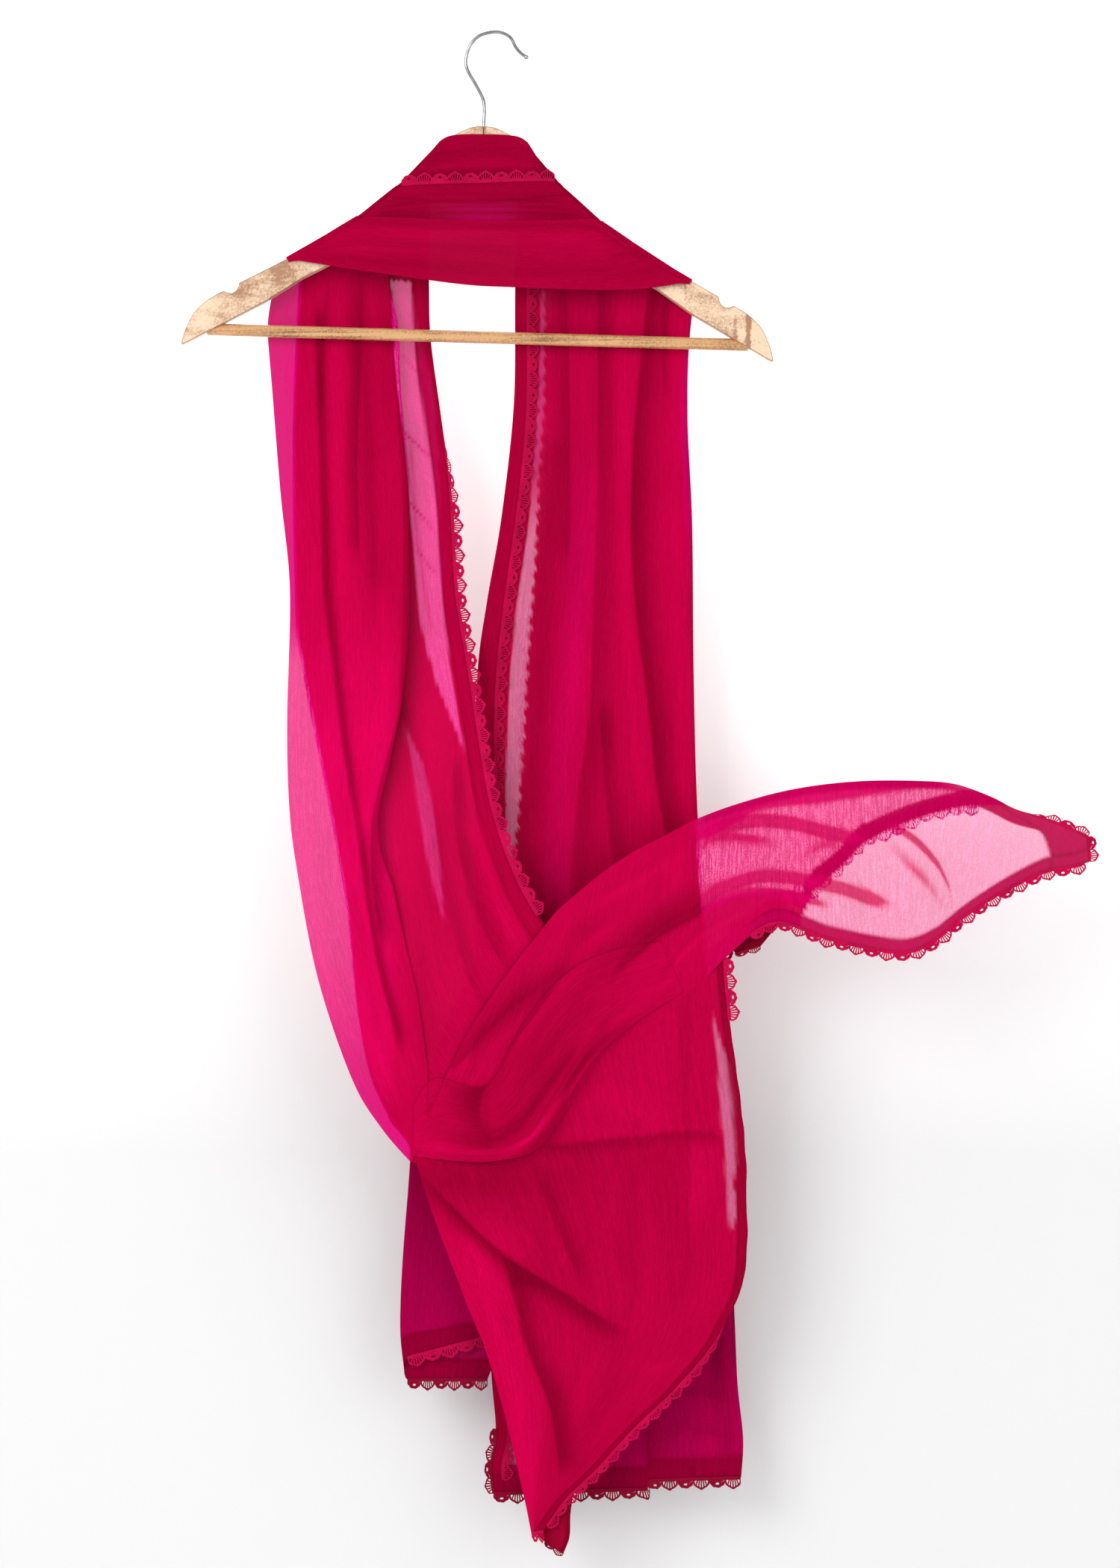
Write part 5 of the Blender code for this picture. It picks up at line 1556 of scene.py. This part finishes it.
def hanger_arm(name, node, mirror, finish, edge_finish):
    outline = bpy.data.curves.new(name, "CURVE")
    outline.dimensions = "2D"
    outline.fill_mode = "BOTH"
    outline.extrude = ARM_THICK / 2.0 * MM
    spline = outline.splines.new("POLY")
    points = rounded(ARM_UPPER)
    points += [(row.across, row.drop) for row in ARM_NOTCH]
    points += rounded(ARM_END + ARM_LOWER[:3])
    points += [(row.across, row.drop) for row in ARM_LOWER[3:]]
    spline.points.add(len(points) - 1)
    for target, (across, drop) in zip(spline.points, points):
        target.co = (mirror * across * MM, -drop * MM, 0.0, 1.0)
    spline.use_cyclic_u = True
    data = curve_mesh(outline)
    upright = Matrix.Rotation(radians(90.0), 4, "X")
    data.transform(Matrix.Translation((CENTRE_X * MM, 0.0, CROWN_Z * MM)) @ upright)
    body = bmesh.new()
    body.from_mesh(data)
    bmesh.ops.remove_doubles(body, verts=body.verts, dist=0.00001)
    bmesh.ops.dissolve_limit(body, angle_limit=radians(0.5), verts=body.verts, edges=body.edges)
    bmesh.ops.recalc_face_normals(body, faces=body.faces)
    body.to_mesh(data)
    body.free()
    tilted(data)
    data.materials.clear()
    data.materials.append(finish)
    piece = add_piece(name, data, node)
    edges = piece.modifiers.new("rounded edges", "BEVEL")
    edges.width = ARM_ROUND * MM
    edges.segments = 4
    edges.limit_method = "ANGLE"
    edges.angle_limit = radians(60.0)
    data.materials.append(edge_finish)
    edges.material = 1
    data.shade_smooth()
    data.set_sharp_from_angle(angle=radians(50.0))


def hanger_bar(finish):
    bpy.ops.object.select_all(action="DESELECT")
    bpy.ops.mesh.primitive_cylinder_add(
        vertices=48, radius=BAR_RADIUS * MM, depth=2.0 * BAR_HALF * MM,
        location=(CENTRE_X * MM, 0.0, (CROWN_Z - BAR_DROP) * MM), rotation=(0.0, radians(90.0), 0.0))
    piece = bpy.context.object
    piece.name = "trouser_bar"
    bpy.ops.object.transform_apply(location=True, rotation=True, scale=True)
    tilted(piece.data)
    piece.data.materials.append(finish)
    piece.data.shade_smooth()
    piece.data.set_sharp_from_angle(angle=radians(40.0))
    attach(piece, "root")
    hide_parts("hanger_bar")


def hanger_hook(finish):
    wire = bpy.data.curves.new("hook_wire", "CURVE")
    wire.dimensions = "3D"
    wire.bevel_depth = WIRE_RADIUS * MM
    wire.bevel_resolution = 5
    wire.use_fill_caps = True
    spline = wire.splines.new("POLY")
    steps = 160
    spline.points.add(steps)
    for index, target in enumerate(spline.points):
        point = edge_point(HOOK_WIRE, index / steps)
        target.co = (point.x * MM, 0.0, point.y * MM, 1.0)
    data = curve_mesh(wire)
    body = bmesh.new()
    body.from_mesh(data)
    bmesh.ops.remove_doubles(body, verts=body.verts, dist=0.000005)
    tip = HOOK_WIRE[-1]
    bmesh.ops.create_uvsphere(
        body, u_segments=24, v_segments=14, radius=(WIRE_RADIUS + 0.45) * MM,
        matrix=Matrix.Translation((tip.x * MM, 0.0, tip.z * MM)))
    bmesh.ops.recalc_face_normals(body, faces=body.faces)
    body.to_mesh(data)
    body.free()
    tilted(data)
    data.materials.clear()
    data.materials.append(finish)
    data.shade_smooth()
    add_piece("hook_wire", data, "hook")


def wire_finish():
    finish, tree, shader = new_finish("plated_wire", None)
    scuff = noise_node(tree, object_place(tree), 300.0, 3.0, 0.6)
    dull = (0.14, 0.14, 0.15, 1.0)
    bright = (0.50, 0.50, 0.51, 1.0)
    tree.links.new(ramped(tree, scuff, (0.0, dull), (1.0, bright)), shader.inputs["Base Color"])
    shader.inputs["Metallic"].default_value = 1.0
    rough = math_node(tree, "ADD", math_node(tree, "MULTIPLY", scuff, 0.18), 0.08)
    tree.links.new(rough, shader.inputs["Roughness"])
    return finish


# Stage

def plain_finish(name, colour, wall=False):
    """A matt finish, and for the wall one that glows with height and is clear from behind."""
    finish, tree, shader = new_finish(name, 0.95, 0.1)
    shader.inputs["Base Color"].default_value = colour
    if wall:
        split = tree.nodes.new("ShaderNodeSeparateXYZ")
        tree.links.new(object_place(tree), split.inputs["Vector"])
        rise = math_node(tree, "MULTIPLY", math_node(tree, "ADD", split.outputs["Z"], 0.85), 1.6, True)
        rise = math_node(tree, "ADD", math_node(tree, "MULTIPLY", rise, 0.82), 0.13)
        glow = tree.nodes.new("ShaderNodeCombineColor")
        for channel in ("Red", "Green", "Blue"):
            tree.links.new(rise, glow.inputs[channel])
        tree.links.new(glow.outputs["Color"], shader.inputs["Emission Color"])
        shader.inputs["Emission Strength"].default_value = 0.8
        clear = tree.nodes.new("ShaderNodeBsdfTransparent")
        which = tree.nodes.new("ShaderNodeNewGeometry")
        mix = tree.nodes.new("ShaderNodeMixShader")
        tree.links.new(which.outputs["Backfacing"], mix.inputs["Fac"])
        tree.links.new(shader.outputs["BSDF"], mix.inputs[1])
        tree.links.new(clear.outputs["BSDF"], mix.inputs[2])
        tree.links.new(mix.outputs["Shader"], tree.nodes["Material Output"].inputs["Surface"])
    return finish


def plane(name, size, centre, rotation, finish):
    bpy.ops.object.select_all(action="DESELECT")
    bpy.ops.mesh.primitive_plane_add(size=size, location=centre, rotation=rotation)
    piece = bpy.context.object
    piece.name = name
    bpy.ops.object.transform_apply(location=True, rotation=True, scale=True)
    piece.data.materials.append(finish)


def stage():
    floor_z = -1.75
    wall_y = 0.075
    size = 9.0
    plane("floor", size, (0.0, 0.0, floor_z), (0.0, 0.0, 0.0),
          plain_finish("pale_floor", (0.86, 0.86, 0.86, 1.0)))
    plane("wall", size, (0.0, wall_y, floor_z + size / 2.0), (radians(90.0), 0.0, 0.0),
          plain_finish("pale_wall", (0.68, 0.68, 0.685, 1.0), True))
    world = bpy.data.worlds.new("studio")
    world.use_nodes = True
    world.node_tree.nodes["Background"].inputs["Color"].default_value = (1.0, 1.0, 1.0, 1.0)
    world.node_tree.nodes["Background"].inputs["Strength"].default_value = 0.72
    bpy.context.scene.world = world
    middle = Vector((0.05, 0.0, -0.55))
    for name, place_at, size_m, power in (
            ("key", Vector((-1.7, -2.6, 0.6)), 1.8, 52.0),
            ("fill", Vector((2.2, -3.0, -0.3)), 2.4, 26.0)):
        lamp = bpy.data.lights.new(name, "AREA")
        lamp.size = size_m
        lamp.energy = power
        holder = bpy.data.objects.new(name, lamp)
        bpy.context.scene.collection.objects.link(holder)
        holder.location = place_at
        holder.rotation_euler = (middle - place_at).to_track_quat("-Z", "Y").to_euler()


def camera():
    """Straight on, level with the middle of the picture, which spans 1183 mm at the hanger."""
    distance = 4.5
    picture_height = 1.183
    middle_x = 0.0496
    middle_z = -0.566
    lens_data = bpy.data.cameras.new("camera")
    lens_data.sensor_width = 36.0
    lens_data.lens = lens_data.sensor_width * distance / picture_height
    holder = bpy.data.objects.new("camera", lens_data)
    bpy.context.scene.collection.objects.link(holder)
    holder.location = (middle_x, -distance, middle_z)
    holder.rotation_euler = (radians(90.0), 0.0, 0.0)
    bpy.context.scene.camera = holder


def main():
    weave = chiffon_group()
    band_cloth = chiffon("chiffon_bands", weave, 1.1)
    left_cloth = chiffon("chiffon_left", weave, 1.2)
    right_cloth = chiffon("chiffon_right", weave, 1.2)
    rear_cloth = chiffon("chiffon_rear", weave, 1.1)
    # Lit, dim and shaded copies of one lace: painted light and shade
    lace_lit = lace_finish("lace_lit", (0.60, 0.001, 0.074))
    lace_dim = lace_finish("lace_dim", (0.54, 0.001, 0.062))
    lace_in_shade = lace_finish("lace_in_shade", (0.30, 0.001, 0.030))
    arm_colours = ((0.80, 0.58, 0.40, 1.0), (0.36, 0.18, 0.09, 1.0))
    edge_colours = ((0.40, 0.21, 0.10, 1.0), (0.20, 0.09, 0.04, 1.0))
    bar_colours = ((0.64, 0.35, 0.15, 1.0), (0.22, 0.085, 0.02, 1.0))
    arm_coat = (0.5, 0.15, (30.0, 70.0, 70.0))
    bar_coat = (0.25, 0.7, (9.0, 420.0, 420.0))
    left_wood = wood_finish("arm_wood_left", *arm_colours, *arm_coat)
    right_wood = wood_finish("arm_wood_right", *arm_colours, *arm_coat, marked=True)
    edge_wood = wood_finish("arm_edge_wood", *edge_colours, *arm_coat)
    bar_wood = wood_finish("bar_wood_visual", *bar_colours, *bar_coat)
    hanger_arm("arm_left", "hanger_arm_left", -1.0, left_wood, edge_wood)
    hanger_arm("arm_right", "hanger_arm_right", 1.0, right_wood, edge_wood)
    hanger_bar(bar_wood)
    hanger_hook(wire_finish())
    bands(band_cloth, lace_dim)
    left = left_fall(left_cloth, lace_lit)
    right_fall(right_cloth, lace_dim, lace_in_shade)
    thrown = throw(left_cloth, lace_lit)
    throw_flap(left_cloth, lace_lit)
    swag(skin_of(left, thrown), left_cloth)
    front_tail(left_cloth, lace_lit)
    turned_corner("stole_tail_corner", TIP_CORNER, -6.5, HEM, left_cloth, lace_in_shade)
    # The hem corner is coloured DEEP: painted shade on cloth turned back into a dark pocket
    turned_corner("stole_hem_corner", HEM_CORNER, -22.5, DEEP, left_cloth, lace_in_shade)
    rear_left(rear_cloth, lace_lit, lace_in_shade)
    stage()
    camera()
    bpy.context.scene.view_settings.view_transform = "Standard"


main()
